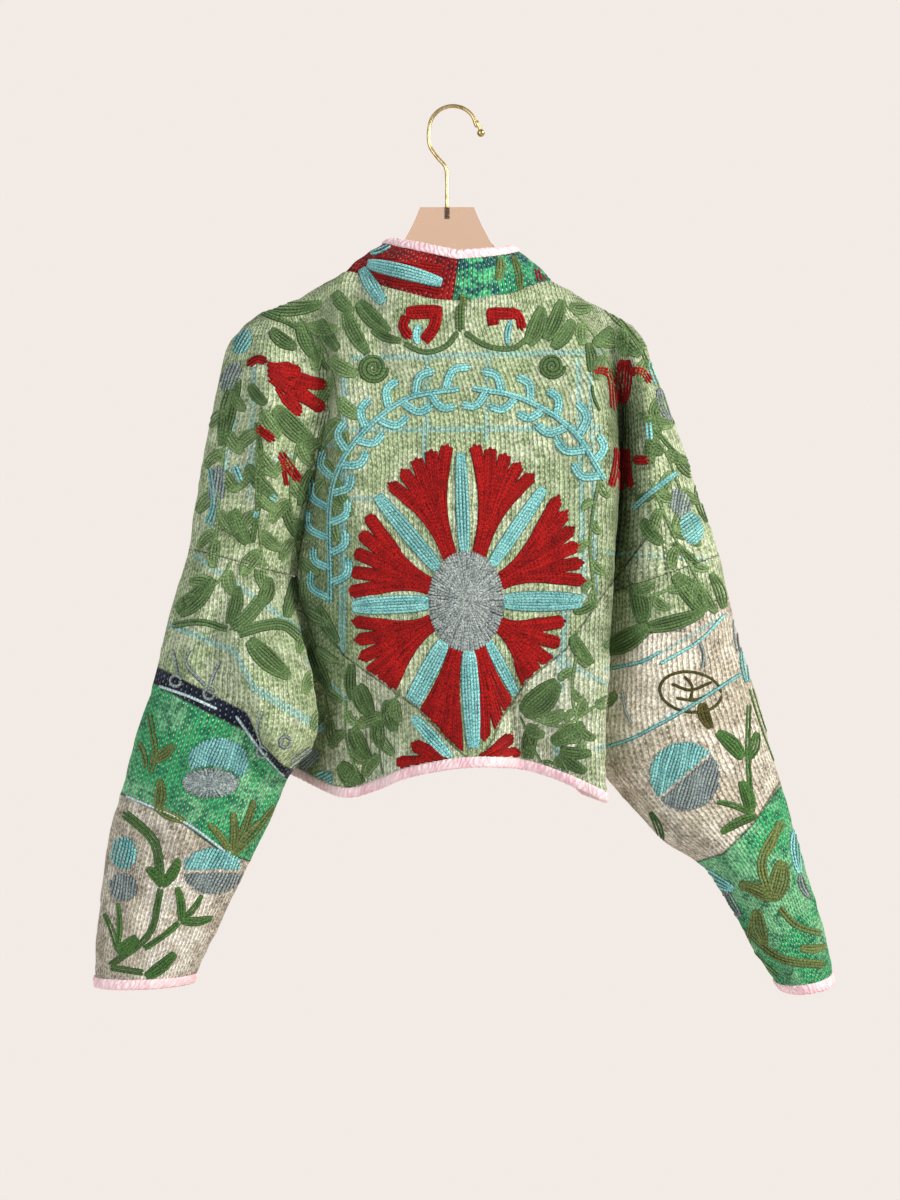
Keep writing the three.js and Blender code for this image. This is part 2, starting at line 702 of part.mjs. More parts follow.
// Columns of a row right across the garment's back, and over one front.
function backWall() {
  const arms = steps(ARM_CELLS);
  const trunk = steps(BACK_CELLS);
  const grid = [...UPPER_ROWS, ...LOWER_ROWS].map((level) => {
    const hasArms = level <= ARMHOLE;
    return [
      ...arms.slice(0, -1).map((a) => (hasArms ? armVertex(-1, level, a, -1) : null)),
      ...trunk.map((share) => backVertex(level, share)),
      ...arms.slice(0, -1).reverse().map((a) => (hasArms ? armVertex(1, level, a, -1) : null)),
    ];
  });
  return outward(wall(grid));
}

function frontShares(hand, level) {
  const lap = frontLap(hand, level);
  const inner = steps(FRONT_CELLS - 1).slice(0, -1);
  const first = inner.map((s) => {
    const cell = s * (FRONT_CELLS - 1);
    return cell <= FRONT_STRETCHES ? cell / FRONT_CELLS : s * lap;
  });
  return [...first, lap, 1];
}

function frontWall(hand) {
  const arms = steps(ARM_CELLS);
  const grid = [...UPPER_ROWS, ...LOWER_ROWS].map((level) => [
    ...arms.slice(0, -1).map((a) => (level <= ARMHOLE ? armVertex(hand, level, a, 1) : null)),
    ...frontShares(hand, level).map((share) => frontVertex(hand, level, share)),
  ]);
  return outward(wall(grid));
}

// A sleeve is one tube: down its back from the outer edge to the inner, and back by the front.
const SLEEVE_LEVELS = [SLEEVE_START, ...SLEEVE_ROWS, CUFF - BIND_LAP / CUFF_LEVEL_SIZE, CUFF];
function sleeveRing(hand, level) {
  const half = steps(ARM_CELLS);
  const seamless = (a, side) => {
    const made = armVertex(hand, level, a, side);
    if (a === 0 || a === 1) made.spot.y -= (side * SEAM) / 2;
    made.spot.x += hand * UNDERARM_GAP * a;
    return made;
  };
  return [
    ...half.map((a) => seamless(a, -1)),
    ...half.slice(1, -1).reverse().map((a) => seamless(a, 1)),
  ];
}

function sleeveWall(hand) {
  const rings = SLEEVE_LEVELS.map((level) => sleeveRing(hand, level));
  return outward(wall(rings, true));
}

const collarRounds = (hand) => {
  const neckShare = 1 - 1 / FRONT_STRETCHES;
  const lap = ((1 - frontLap(hand, 0)) / neckShare) * COLLAR_FRONT_SHARE;
  return steps(COLLAR_CELLS).map((round, i) => (i === 1 ? lap : round));
};
function collarVertex(hand, up, round) {
  const made = vertex(collarPoint(hand, up, round), collarNormal(hand, up, round));
  if (round === 1) {
    made.normal = between(made.normal, collarNormal(-hand, up, 1));
    made.spot.x += (hand * SEAM) / 2;
  }
  return made;
}
function collarWall(hand) {
  const row = (up) => collarRounds(hand).map((round) => collarVertex(hand, up, round));
  return outward(wall(COLLAR_ROWS.map(row)));
}

// Bindings: the hem from front edge to front edge, the cuffs, the open edges and the collar's top.
const HEM_LAP = HEM - BIND_LAP / HEM_LEVEL_SIZE;
const BIND_STOP = 0.02; // share of a front left clear of the binding that crosses it
function hemBinding() {
  const rib = (make, turned = false) => ({ edge: make(HEM), lap: make(HEM_LAP), turned });
  const front = (hand) => {
    const stop = frontLap(hand, HEM) - BIND_STOP;
    const shares = frontShares(hand, HEM).slice(0, -2);
    return [...shares, stop].map((share) => rib((l) => frontVertex(hand, l, share), hand < 0));
  };
  const back = steps(BACK_CELLS).map((share) => rib((l) => backVertex(l, share)));
  return binding([...front(-1).reverse(), ...back, ...front(1)]);
}

function cuffBinding(hand) {
  const laps = sleeveRing(hand, CUFF - BIND_LAP / CUFF_LEVEL_SIZE);
  return binding(sleeveRing(hand, CUFF).map((edge, i) => ({ edge, lap: laps[i] })), true);
}

function frontBinding(hand) {
  const levels = [...UPPER_ROWS, ...LOWER_ROWS].reverse();
  const lapRound = collarRounds(hand)[1];
  return binding([
    ...levels.map((level) => ({
      edge: frontVertex(hand, level, 1),
      lap: frontVertex(hand, level, frontLap(hand, level)),
      turned: true,
    })),
    ...COLLAR_ROWS.map((up) => ({
      edge: collarVertex(hand, up, 0),
      lap: collarVertex(hand, up, lapRound),
      turned: true,
    })),
  ]);
}

function collarBinding() {
  const half = (hand) =>
    collarRounds(hand)
      .map((round, i) => (i === 1 ? round + BIND_STOP : round))
      .slice(1, hand < 0 ? undefined : -1)
      .map((round) => ({
        edge: collarVertex(hand, 1, round),
        lap: collarVertex(hand, COLLAR_ROWS[COLLAR_ROWS.length - 2], round),
        turned: hand > 0,
      }));
  const ribs = [...half(-1), ...half(1).reverse()];
  const middle = ribs[half(-1).length - 1];
  middle.edge.spot.x += SEAM / 2;
  middle.lap.spot.x += SEAM / 2;
  middle.turned = true;
  return binding(ribs);
}

// The back is sewn from a pointed centre piece and two lower side pieces: one wall sawn in three.
const SAW_DEPTH = 400; // through the whole garment, front to back
function backPieces() {
  const saw = (line) => {
    const shape = new THREE.Shape();
    const points = line.map(([x, z]) => new THREE.Vector2(x, z));
    const shifted = points.map((p, i) => {
      const a = points[Math.max(i - 1, 0)];
      const b = points[Math.min(i + 1, points.length - 1)];
      const way = b.clone().sub(a).normalize();
      return p.clone().add(new THREE.Vector2(-way.y, way.x).multiplyScalar(SEAM));
    });
    shape.setFromPoints([...points, ...shifted.reverse()]);
    const blade = new THREE.ExtrudeGeometry(shape, { depth: SAW_DEPTH, bevelEnabled: false });
    blade.rotateX(Math.PI / 2);
    blade.translate(0, SAW_DEPTH / 2, 0);
    return solidOf(blade);
  };
  let cloth = solidOf(backWall());
  cloth = cloth.subtract(saw(LEFT_LOWER_SEAM)).subtract(saw(RIGHT_LOWER_SEAM));
  const pieces = cloth.decompose().map((piece) => {
    const box = piece.boundingBox();
    return { piece, x: (box.min[0] + box.max[0]) / 2, volume: piece.volume() };
  });
  pieces.sort((a, b) => b.volume - a.volume);
  const [centre, ...lower] = pieces;
  lower.sort((a, b) => a.x - b.x);
  return [centre, lower[0], lower[lower.length - 1]].map(({ piece }) => geometryOf(piece));
}

// Hanger: a clear plate whose upper edge follows the inside of the shoulders. Its lower edge runs
// in from each tip: how far in, and how far up.
const PLATE_SHOULDER = [0.12, 0.5, 1];
const PLATE_LOWER = [
  [1, -12],
  [10, -21],
  [60, -11],
  [120, 1],
];
function hangerPlate() {
  const ridge = (hand) =>
    [
      ...PLATE_SHOULDER.map((around) => armPoint(hand, 0, around, -1)),
      backPoint(0, hand < 0 ? 1 / BACK_STRETCHES : 1 - 1 / BACK_STRETCHES),
    ].map((spot) => new THREE.Vector2(spot.x, spot.z - HANGER_BELOW_CLOTH));
  const rise = ([half, z]) => new THREE.Vector2(STEM_X + half, z);
  const lower = (hand, tip) =>
    PLATE_LOWER.map(([along, up]) => new THREE.Vector2(tip.x - hand * along, tip.y + up));
  const [left, right] = [ridge(-1), ridge(1)];
  const outline = [
    ...lower(-1, left[0]).reverse(),
    ...left,
    ...THROAT_LEFT.map(rise),
    rise([-THROAT_TOP, PLATE_TOP]),
    rise([THROAT_TOP, PLATE_TOP]),
    ...THROAT_RIGHT.map(rise).reverse(),
    ...[...right].reverse(),
    ...lower(1, right[0]),
  ];
  const shape = new THREE.Shape(outline);
  const plate = new THREE.ExtrudeGeometry(shape, { depth: HANGER_THICK, bevelEnabled: false });
  plate.rotateX(Math.PI / 2);
  plate.translate(0, HANGER_THICK / 2, 0);
  const boreLength = 2 * SOCKET.depth + 1;
  const bore = new THREE.CylinderGeometry(SOCKET.bore, SOCKET.bore, boreLength, SOCKET.sides);
  bore.rotateX(Math.PI / 2);
  bore.translate(STEM_X, 0, PLATE_TOP);
  return geometryOf(solidOf(plate).subtract(solidOf(bore)));
}

function hookSocket() {
  const pin = new THREE.CylinderGeometry(SOCKET.radius, SOCKET.radius, SOCKET.depth, SOCKET.sides);
  pin.rotateX(Math.PI / 2);
  pin.translate(STEM_X, 0, PLATE_TOP - SOCKET.depth / 2);
  return pin;
}

function hookWire() {
  const middle = -HOOK_RADIUS + HOOK_WIRE;
  const arc = (degrees) => {
    const turn = THREE.MathUtils.degToRad(degrees);
    return point(HOOK_RADIUS * Math.cos(turn), 0, middle + HOOK_RADIUS * Math.sin(turn));
  };
  const route = [
    point(HOOK_END.x, 0, HOOK_END.z),
    point(HOOK_RADIUS, 0, HOOK_END.turnZ),
    ...HOOK_ARC.map((degrees) => arc(degrees)),
    ...HOOK_NECK.map(([x, z]) => point(x, 0, z)),
    point(STEM_X, 0, STEM_Z),
    point(STEM_X, 0, PLATE_TOP + SEAM),
  ];
  const section = new THREE.Shape();
  section.absarc(0, 0, HOOK_WIRE, 0, 2 * Math.PI);
  const wire = new THREE.ExtrudeGeometry(section, {
    steps: HOOK_STEPS,
    curveSegments: HOOK_SIDES,
    extrudePath: new THREE.CatmullRomCurve3(route, false, "centripetal"),
  });
  const ball = new THREE.SphereGeometry(BALL_RADIUS, BALL_SIDES, BALL_RINGS);
  ball.translate(HOOK_END.x, 0, HOOK_END.ballZ);
  return geometryOf(solidOf(wire).add(solidOf(ball)));
}

const jacket = new THREE.Group();
function add(name, geometry, color, roughness, metalness = 0) {
  geometry.computeVertexNormals();
  const material = new THREE.MeshStandardMaterial({ color, roughness, metalness });
  const mesh = new THREE.Mesh(geometry, material);
  mesh.name = name;
  jacket.add(mesh);
}

const SAGE = "#a9b57c";
const PINK = "#ecc3cd";
const [centre, lowerLeft, lowerRight] = backPieces();
add("back_centre", centre, SAGE, 0.9);
add("back_lower_left", lowerLeft, SAGE, 0.9);
add("back_lower_right", lowerRight, SAGE, 0.9);
add("front_left", frontWall(-1), SAGE, 0.9);
add("front_right", frontWall(1), SAGE, 0.9);
add("sleeve_left", sleeveWall(-1), "#9aa56f", 0.9);
add("sleeve_right", sleeveWall(1), "#c3b8a2", 0.9);
add("collar_left", collarWall(-1), "#8e1420", 0.9);
add("collar_right", collarWall(1), "#2c6a55", 0.9);
add("hem_binding", hemBinding(), PINK, 0.8);
add("cuff_binding_left", cuffBinding(-1), PINK, 0.8);
add("cuff_binding_right", cuffBinding(1), PINK, 0.8);
add("front_binding_left", frontBinding(-1), PINK, 0.8);
add("front_binding_right", frontBinding(1), PINK, 0.8);
add("collar_binding", collarBinding(), PINK, 0.8);
add("hanger_plate", hangerPlate(), "#d9b8a4", 0.1);
add("hook_socket", hookSocket(), "#4a4a4a", 0.3, 1);
add("hanger_hook", hookWire(), "#c9a95a", 0.25, 1);

export default jacket;
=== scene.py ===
import math

import bmesh
import bpy
import numpy as np
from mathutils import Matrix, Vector
from mathutils.bvhtree import BVHTree
from mathutils.kdtree import KDTree


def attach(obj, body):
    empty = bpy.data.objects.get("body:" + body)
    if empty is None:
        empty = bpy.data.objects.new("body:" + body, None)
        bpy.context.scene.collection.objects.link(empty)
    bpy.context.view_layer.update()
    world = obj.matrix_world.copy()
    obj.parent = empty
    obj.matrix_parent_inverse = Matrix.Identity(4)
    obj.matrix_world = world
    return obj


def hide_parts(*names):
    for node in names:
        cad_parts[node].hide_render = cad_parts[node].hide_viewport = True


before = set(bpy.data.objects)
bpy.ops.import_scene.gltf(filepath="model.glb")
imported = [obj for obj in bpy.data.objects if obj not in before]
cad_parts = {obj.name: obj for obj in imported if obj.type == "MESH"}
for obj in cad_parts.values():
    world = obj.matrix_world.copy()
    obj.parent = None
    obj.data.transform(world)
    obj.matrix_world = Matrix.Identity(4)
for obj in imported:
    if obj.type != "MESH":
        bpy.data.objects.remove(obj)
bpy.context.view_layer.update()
print("stage: frame loaded")

mm = 0.001
rng = np.random.default_rng(7)


# The garment's form in mm, level by level down the arms and the trunk.
armColumns = ["outX", "outY", "outZ", "inX", "inZ", "inBack", "inFront", "back", "front", "soft"]
leftArmRows = [
    [-191, 0, -205, -153, -190, 0, 0, 0, 0, 1],
    [-213, 0, -223, -141, -212, -20, 18, 12, 12, 1],
    [-227, -2, -247, -129, -245, -28, 24, 28, 22, 0.9],
    [-237, -5, -290, -122, -290, -30, 26, 40, 30, 0.8],
    [-247, -8, -340, -130, -340, -26, 24, 46, 34, 0.7],
    [-255, -10, -392, -145, -400, -13, 15, 50, 36, 0.35],
    [-261, -12, -440, -158, -468, 2, 2, 52, 38, 0],
    [-273, -16, -484, -150, -517, -20, -20, 52, 38, 0],
    [-285, -20, -524, -138, -564, -42, -42, 52, 38, 0],
    [-296, -24, -576, -130, -604, -56, -56, 50, 38, 0],
    [-308, -26, -612, -135, -632, -60, -60, 46, 38, 0],
    [-317, -28, -645, -152, -652, -56, -56, 43, 38, 0],
    [-326, -30, -680, -167, -680, -50, -50, 42, 38, 0],
    [-338, -30, -724, -183, -717, -44, -44, 40, 36, 0],
    [-346, -30, -775, -206, -763, -40, -40, 36, 34, 0],
    [-350, -30, -815, -228, -812, -36, -36, 33, 32, 0],
    [-352, -30, -845, -243, -840, -34, -34, 31, 30, 0],
    [-352, -30, -870, -254, -866, -33, -33, 30, 30, 0],
]
rightArmRows = [
    [179, 0, -218, 147, -200, 0, 0, 0, 0, 1],
    [190, 0, -234, 154, -221, -18, 18, 12, 12, 0.8],
    [201, 2, -262, 162, -252, -18, 24, 26, 18, 0.6],
    [216, 4, -300, 168, -295, -10, 28, 36, 22, 0.5],
    [232, 6, -345, 168, -345, -2, 28, 42, 26, 0.4],
    [248, 8, -395, 164, -405, 8, 26, 48, 30, 0.2],
    [267, 10, -446, 154, -485, 20, 20, 52, 34, 0],
    [277, 12, -487, 152, -540, 22, 22, 54, 34, 0],
    [287, 14, -527, 147, -590, 24, 24, 54, 36, 0],
    [298, 16, -565, 143, -632, 26, 26, 54, 38, 0],
    [310, 18, -602, 150, -664, 24, 24, 52, 40, 0],
    [321, 20, -644, 173, -694, 18, 18, 50, 42, 0],
    [334, 20, -685, 205, -728, 12, 12, 50, 44, 0],
    [344, 18, -727, 241, -752, 8, 8, 50, 46, 0],
    [355, 16, -764, 260, -772, 5, 5, 48, 46, 0],
    [367, 14, -804, 282, -808, 2, 2, 46, 45, 0],
    [375, 12, -840, 304, -848, 0, 0, 45, 44, 0],
    [381, 10, -872, 326, -880, 0, 0, 44, 44, 0],
]
sideColumns = ["x", "y", "z"]
leftSideRows = [
    [-158, 2, -468],
    [-161, 22, -512],
    [-165, 32, -556],
    [-168, 37, -600],
    [-168, 38, -640],
    [-167, 38, -668],
]
rightSideRows = [
    [154, 20, -485],
    [143, 30, -530],
    [135, 34, -575],
    [131, 36, -615],
    [131, 36, -655],
    [133, 36, -688],
]
backColumns = ["down", "leftX", "leftY", "midLeftY", "centreY", "midRightY", "rightX", "rightY"]
backRows = [
    [0, -108, 0, -44, -52, -44, 99, 0],
    [22, -112, -26, -50, -56, -50, 105, -26],
    [58, -114, -42, -54, -59, -55, 122, -44],
    [102, -112, -50, -58, -62, -60, 144, -56],
    [150, -110, -53, -61, -65, -65, 151, -62],
    [204, -109, -54, -64, -68, -70, 152, -66],
    [262, -108, -52, -66, -71, -73, 150, -68],
    [305, -108, -48, -67, -73, -74, 148, -70],
    [348, -106, -42, -66, -75, -73, 147, -72],
    [390, -104, -34, -62, -77, -68, 144, -74],
    [426, -102, -26, -60, -78, -62, 143, -76],
    [456, -102, -20, -60, -78, -60, 144, -78],
]
backTopZ = {"left": -164, "midLeft": -189, "centre": -200, "midRight": -193, "right": -174}
backHemZ = {"left": -686, "midLeft": -662, "centre": -651, "midRight": -660, "right": -683}
frontColumns = ["ridgeX", "ridgeY", "midX", "midY", "openX", "openY"]
frontRows = [
    [102, 0, 60, 42, 5, 55],
    [106, 24, 62, 44, 5, 55],
    [108, 36, 62, 46, 5.5, 54],
    [108, 42, 62, 48, 6, 53],
    [110, 44, 63, 49, 7, 53],
    [112, 46, 64, 50, 8, 53],
    [116, 48, 66, 52, 9, 54],
    [118, 51, 67, 54, 10, 55],
    [118, 54, 68, 56, 11, 56],
    [118, 57, 68, 58, 12, 57],
    [118, 58, 68, 59, 13, 58],
    [118, 58, 68, 59, 14, 58],
]
frontTopZ = {"ridge": (-164, -174), "mid": (-178, -182), "open": (-186, -187)}
frontHemZ = {"ridge": (-670, -672), "mid": (-662, -654), "open": (-649, -648)}
collarTop = {
    "backLeft": (-63, 2, -131),
    "backMidLeft": (-36, -32, -141),
    "backCentre": (5, -47, -152),
    "backMidRight": (38, -33, -147),
    "backRight": (59, 2, -138),
    "frontMid": ((-46, 38, -134), (36, 38, -137)),
    "frontOpen": ((-11.5, 53, -136), (-0.5, 53, -136)),
}
level = {"armhole": 6, "hem": 11, "cuff": 17}
middleX = -6
pouch = {"from": (-226, -508), "to": (-163, -668), "out": 12, "under": 11, "reach": 34, "lip": 5}

# Folds, each from one point to another in the view from behind: width, and depth in (+) or out.
folds = {
    "back": [
        ((-74, -575), (-80, -700), 13, 15),
        ((-118, -640), (-112, -700), 12, -8),
        ((52, -560), (68, -690), 12, 13),
        ((105, -560), (108, -700), 20, -9),
        ((-95, -185), (-52, -300), 12, 5),
        ((88, -195), (62, -320), 13, 5),
        ((-100, -545), (-20, -600), 16, -6),
        ((18, -300), (2, -560), 30, -4),
    ],
    "leftBack": [
        ((-172, -205), (-150, -330), 12, 7),
        ((-205, -225), (-212, -400), 16, 6),
        ((-176, -270), (-182, -440), 13, -6),
        ((-216, -455), (-232, -560), 16, 7),
        ((-300, -700), (-230, -735), 14, -5),
        ((-336, -760), (-262, -800), 16, 5),
    ],
    "rightBack": [
        ((178, -240), (196, -420), 10, -6),
        ((214, -300), (232, -470), 13, 6),
        ((190, -520), (268, -560), 16, 6),
        ((180, -640), (262, -600), 18, -6),
        ((240, -700), (312, -660), 16, 6),
        ((290, -770), (352, -780), 14, -4),
    ],
    "front": [
        ((-100, -330), (-84, -660), 18, -8),
        ((-58, -420), (-52, -690), 16, 7),
        ((92, -330), (78, -660), 18, -8),
        ((52, -420), (44, -690), 16, 7),
    ],
    "leftFront": [
        ((-180, -240), (-205, -420), 16, -8),
        ((-285, -560), (-190, -640), 18, -8),
        ((-320, -700), (-230, -740), 16, -6),
    ],
    "rightFront": [
        ((176, -250), (200, -430), 16, -8),
        ((280, -560), (190, -620), 18, -8),
        ((320, -690), (240, -720), 16, -6),
    ],
}
# Softer creases that only the shells have, as uneven as cloth is.
creases = {
    "back": [
        ((-60, -215), (-96, -330), 5, 1.6),
        ((-30, -230), (-70, -400), 7, 1.3),
        ((50, -225), (110, -380), 6, 1.5),
        ((120, -230), (128, -330), 5, 2.2),
        ((135, -300), (140, -470), 6, -1.8),
        ((-104, -360), (-92, -520), 6, 2.0),
        ((-88, -470), (-60, -560), 7, -1.6),
        ((-140, -480), (-120, -600), 6, 2.4),
        ((-146, -560), (-128, -660), 5, -2.2),
        ((-100, -600), (-66, -655), 5, 2.4),
        ((-52, -610), (-60, -668), 5, -1.8),
        ((44, -610), (58, -668), 4, 2.0),
        ((84, -600), (92, -676), 5, -2.0),
        ((124, -590), (112, -640), 6, 2.2),
        ((88, -630), (128, -664), 5, 1.8),
        ((10, -240), (30, -330), 8, 1.0),
    ],
    "leftBack": [
        ((-160, -215), (-196, -300), 5, 2.2),
        ((-200, -240), (-160, -300), 5, 1.8),
        ((-150, -280), (-168, -420), 6, 2.4),
        ((-228, -290), (-236, -400), 5, -1.8),
        ((-196, -340), (-206, -450), 6, 2.0),
        ((-240, -430), (-176, -440), 6, 2.6),
        ((-250, -470), (-170, -520), 6, 2.0),
        ((-180, -500), (-160, -600), 6, 2.2),
        ((-270, -520), (-236, -600), 6, -2.0),
        ((-196, -560), (-150, -590), 6, 1.8),
        ((-190, -620), (-150, -620), 5, -1.6),
        ((-300, -600), (-240, -690), 7, 2.2),
        ((-240, -640), (-190, -700), 6, 2.4),
        ((-316, -690), (-262, -740), 6, 2.2),
        ((-330, -780), (-300, -850), 6, 1.8),
        ((-296, -770), (-268, -840), 6, -1.8),
    ],
    "rightBack": [
        ((186, -260), (224, -350), 5, 2.2),
        ((176, -300), (190, -400), 5, -2.0),
        ((200, -370), (212, -460), 6, 2.0),
        ((232, -360), (246, -450), 5, -1.8),
        ((166, -470), (230, -450), 6, 2.4),
        ((176, -530), (262, -500), 6, 1.6),
        ((160, -590), (230, -570), 6, 2.2),
        ((156, -640), (216, -620), 5, 1.8),
        ((196, -690), (276, -640), 6, 2.2),
        ((226, -560), (296, -590), 6, -1.6),
        ((262, -720), (330, -700), 6, 2.0),
        ((286, -760), (344, -740), 5, -1.6),
        ((320, -800), (360, -840), 6, 1.8),
    ],
    "front": [
        ((-120, -250), (-60, -330), 6, 2.0),
        ((-150, -480), (-70, -520), 7, 2.0),
        ((-120, -560), (-104, -660), 6, 2.4),
        ((-40, -560), (-34, -660), 5, 1.8),
        ((110, -250), (60, -340), 6, 2.0),
        ((140, -490), (60, -530), 7, 2.0),
        ((112, -570), (100, -660), 6, 2.4),
        ((34, -540), (26, -660), 5, 1.8),
    ],
    "leftFront": [
        ((-160, -230), (-190, -330), 6, 2.2),
        ((-230, -300), (-240, -420), 6, 2.0),
        ((-250, -470), (-170, -510), 6, 2.2),
        ((-290, -640), (-220, -690), 7, 2.0),
        ((-320, -790), (-270, -830), 6, 2.0),
    ],
    "rightFront": [
        ((160, -240), (190, -340), 6, 2.2),
        ((220, -320), (240, -420), 6, 2.0),
        ((170, -500), (250, -470), 6, 2.2),
        ((190, -650), (270, -640), 7, 2.0),
        ((300, -770), (350, -800), 6, 2.0),
    ],
}


def table(columns, rows):
    return {name: [row[c] for row in rows] for c, name in enumerate(columns)}


leftArm, rightArm = table(armColumns, leftArmRows), table(armColumns, rightArmRows)
leftSide, rightSide = table(sideColumns, leftSideRows), table(sideColumns, rightSideRows)
backTable, frontTable = table(backColumns, backRows), table(frontColumns, frontRows)


# A cubic through equally spaced values.
def smooth(values, at):
    v = np.asarray(values, float)
    at = np.asarray(at, float)
    last = len(v) - 1
    i = np.clip(np.floor(at).astype(int), 0, last - 1)
    f = np.clip(at - i, 0, 1)
    slopeA = (v[i + 1] - v[np.maximum(i - 1, 0)]) / np.where(i > 0, 2, 1)
    slopeB = (v[np.minimum(i + 2, last)] - v[i]) / np.where(i + 2 <= last, 2, 1)
    return (
        v[i] * (2 * f**3 - 3 * f**2 + 1)
        + slopeA * (f**3 - 2 * f**2 + f)
        + v[i + 1] * (3 * f**2 - 2 * f**3)
        + slopeB * (f**3 - f**2)
    )


def mix(a, b, f):
    return a + (b - a) * f


# Over the shoulder a depth grows as a quarter circle down to level 1.
def rounded(values, at):
    share = np.sqrt(np.maximum(at * (2 - at), 0))
    ends = smooth(values, np.zeros(1)), smooth(values, np.ones(1))
    return np.where(at >= 1, smooth(values, at), mix(ends[0], ends[1], np.clip(share, 0, 1)))


def foldDepth(names, x, z):
    push = np.zeros_like(x)
    for (ax, az), (bx, bz), wide, deep in folds[names] + creases[names]:
        dx, dz = bx - ax, bz - az
        reach = np.clip(((x - ax) * dx + (z - az) * dz) / (dx * dx + dz * dz), 0, 1)
        away = np.hypot(x - ax - reach * dx, z - az - reach * dz)
        push += deep * np.sin(np.pi * (reach * 0.8 + 0.1)) * np.exp(-((away / wide) ** 2))
    return push


def pouchDepth(x, z):
    (ax, az), (bx, bz) = pouch["from"], pouch["to"]
    length = math.hypot(bx - ax, bz - az)
    ux, uz = (bx - ax) / length, (bz - az) / length
    along = ((x - ax) * ux + (z - az) * uz) / length
    across = -(x - ax) * uz + (z - az) * ux
    fade = np.sin(np.pi / 2 * np.clip(along * 1.6 + 0.15, 0, 1)) * np.clip(5 - 4 * along, 0, 1)
    side = across / np.sqrt(across**2 + pouch["lip"] ** 2)
    height = np.where(side > 0, -pouch["out"], pouch["under"])
    return height * np.abs(side) * fade * np.exp(-((across / pouch["reach"]) ** 2))


# Points of an arm for arrays of levels and of places round it: 0 at the outer edge, 1 at the inner.
def armPoints(hand, at, around, side):
    arm = leftArm if hand < 0 else rightArm
    across = (1 - np.cos(np.pi * around)) / 2
    soft = np.where(around > 0.5, np.clip(smooth(arm["soft"], at), 0, 1), 0)
    swell = mix(np.sin(np.pi * around), np.sin(np.pi * across) ** 2, soft)
    inY = rounded(arm["inBack" if side < 0 else "inFront"], at)
    x = mix(smooth(arm["outX"], at), smooth(arm["inX"], at), across)
    z = mix(smooth(arm["outZ"], at), smooth(arm["inZ"], at), across)
    depth = rounded(arm["back" if side < 0 else "front"], at)
    y = mix(smooth(arm["outY"], at), inY, across) + side * swell * depth
    inside = np.sin(np.pi * around) * np.clip(at, 0, 1)
    name = ("left" if hand < 0 else "right") + ("Back" if side < 0 else "Front")
    y = y - side * inside * foldDepth(name, x, z)
    if hand < 0 and side < 0:
        lip = np.minimum(1, 3 * np.sin(np.pi * around)) * pouchDepth(x, z)
        y = y + np.where(at > level["armhole"], lip, 0)
    return np.stack([x, y, z], -1)


def trunkEdge(hand, at, side):
    seam = leftSide if hand < 0 else rightSide
    below = np.stack([smooth(seam[c], at - level["armhole"]) for c in sideColumns], -1)
    above = armPoints(hand, np.minimum(at, level["armhole"]), np.ones_like(at), side)
    return np.where((at > level["armhole"])[:, None], below, above)


# The centripetal curve through stations, an array of (stations, levels, 3), at each share.
def alongStations(stations, shares, at):
    count = len(stations)
    padded = np.concatenate(
        [2 * stations[:1] - stations[1:2], stations, 2 * stations[-1:] - stations[-2:-1]]
    )
    straight = ((1 - np.clip(at, 0, 1)) ** 2)[:, None]
    out = np.zeros((stations.shape[1], len(shares), 3))
    for j, share in enumerate(shares):
        place = min(share, 1) * (count - 1)
        i = min(int(place), count - 2)
        f = place - i
        p = padded[i : i + 4]
        gaps = [np.maximum(np.linalg.norm(p[k + 1] - p[k], axis=1), 1e-6) ** 0.5 for k in range(3)]
        d0, d1, d2 = (gap[:, None] for gap in gaps)
        t1 = ((p[1] - p[0]) / d0 - (p[2] - p[0]) / (d0 + d1) + (p[2] - p[1]) / d1) * d1
        t2 = ((p[2] - p[1]) / d1 - (p[3] - p[1]) / (d1 + d2) + (p[3] - p[2]) / d2) * d1
        spot = (
            p[1]
            + t1 * f
            + (3 * (p[2] - p[1]) - 2 * t1 - t2) * f**2
            + (2 * (p[1] - p[2]) + t1 + t2) * f**3
        )
        if i == 0 or (i == count - 2 and count == 7):
            spot = mix(spot, mix(p[1], p[2], f), straight)
        out[:, j] = spot
    return out


def drop(at, name, top, hem):
    share = smooth(backTable["down"], at) / backTable["down"][-1]
    return mix(top[name], hem[name], share)


def backPoints(at, shares):
    leftX, rightX = smooth(backTable["leftX"], at), smooth(backTable["rightX"], at)
    places = [("left", 0), ("midLeft", 0.25), ("centre", 0.52), ("midRight", 0.77), ("right", 1)]
    inner = [
        np.stack(
            [
                mix(leftX, rightX, f),
                rounded(backTable[name + "Y"], at),
                drop(at, name, backTopZ, backHemZ),
            ],
            -1,
        )
        for name, f in places
    ]
    stations = np.stack([trunkEdge(-1, at, -1), *inner, trunkEdge(1, at, -1)])
    out = alongStations(stations, shares, at)
    edge = np.minimum(1, np.minimum(6 * shares, 6 * (1 - shares)))[None]
    out[..., 1] += edge * np.clip(at, 0, 1)[:, None] * foldDepth("back", out[..., 0], out[..., 2])
    return out


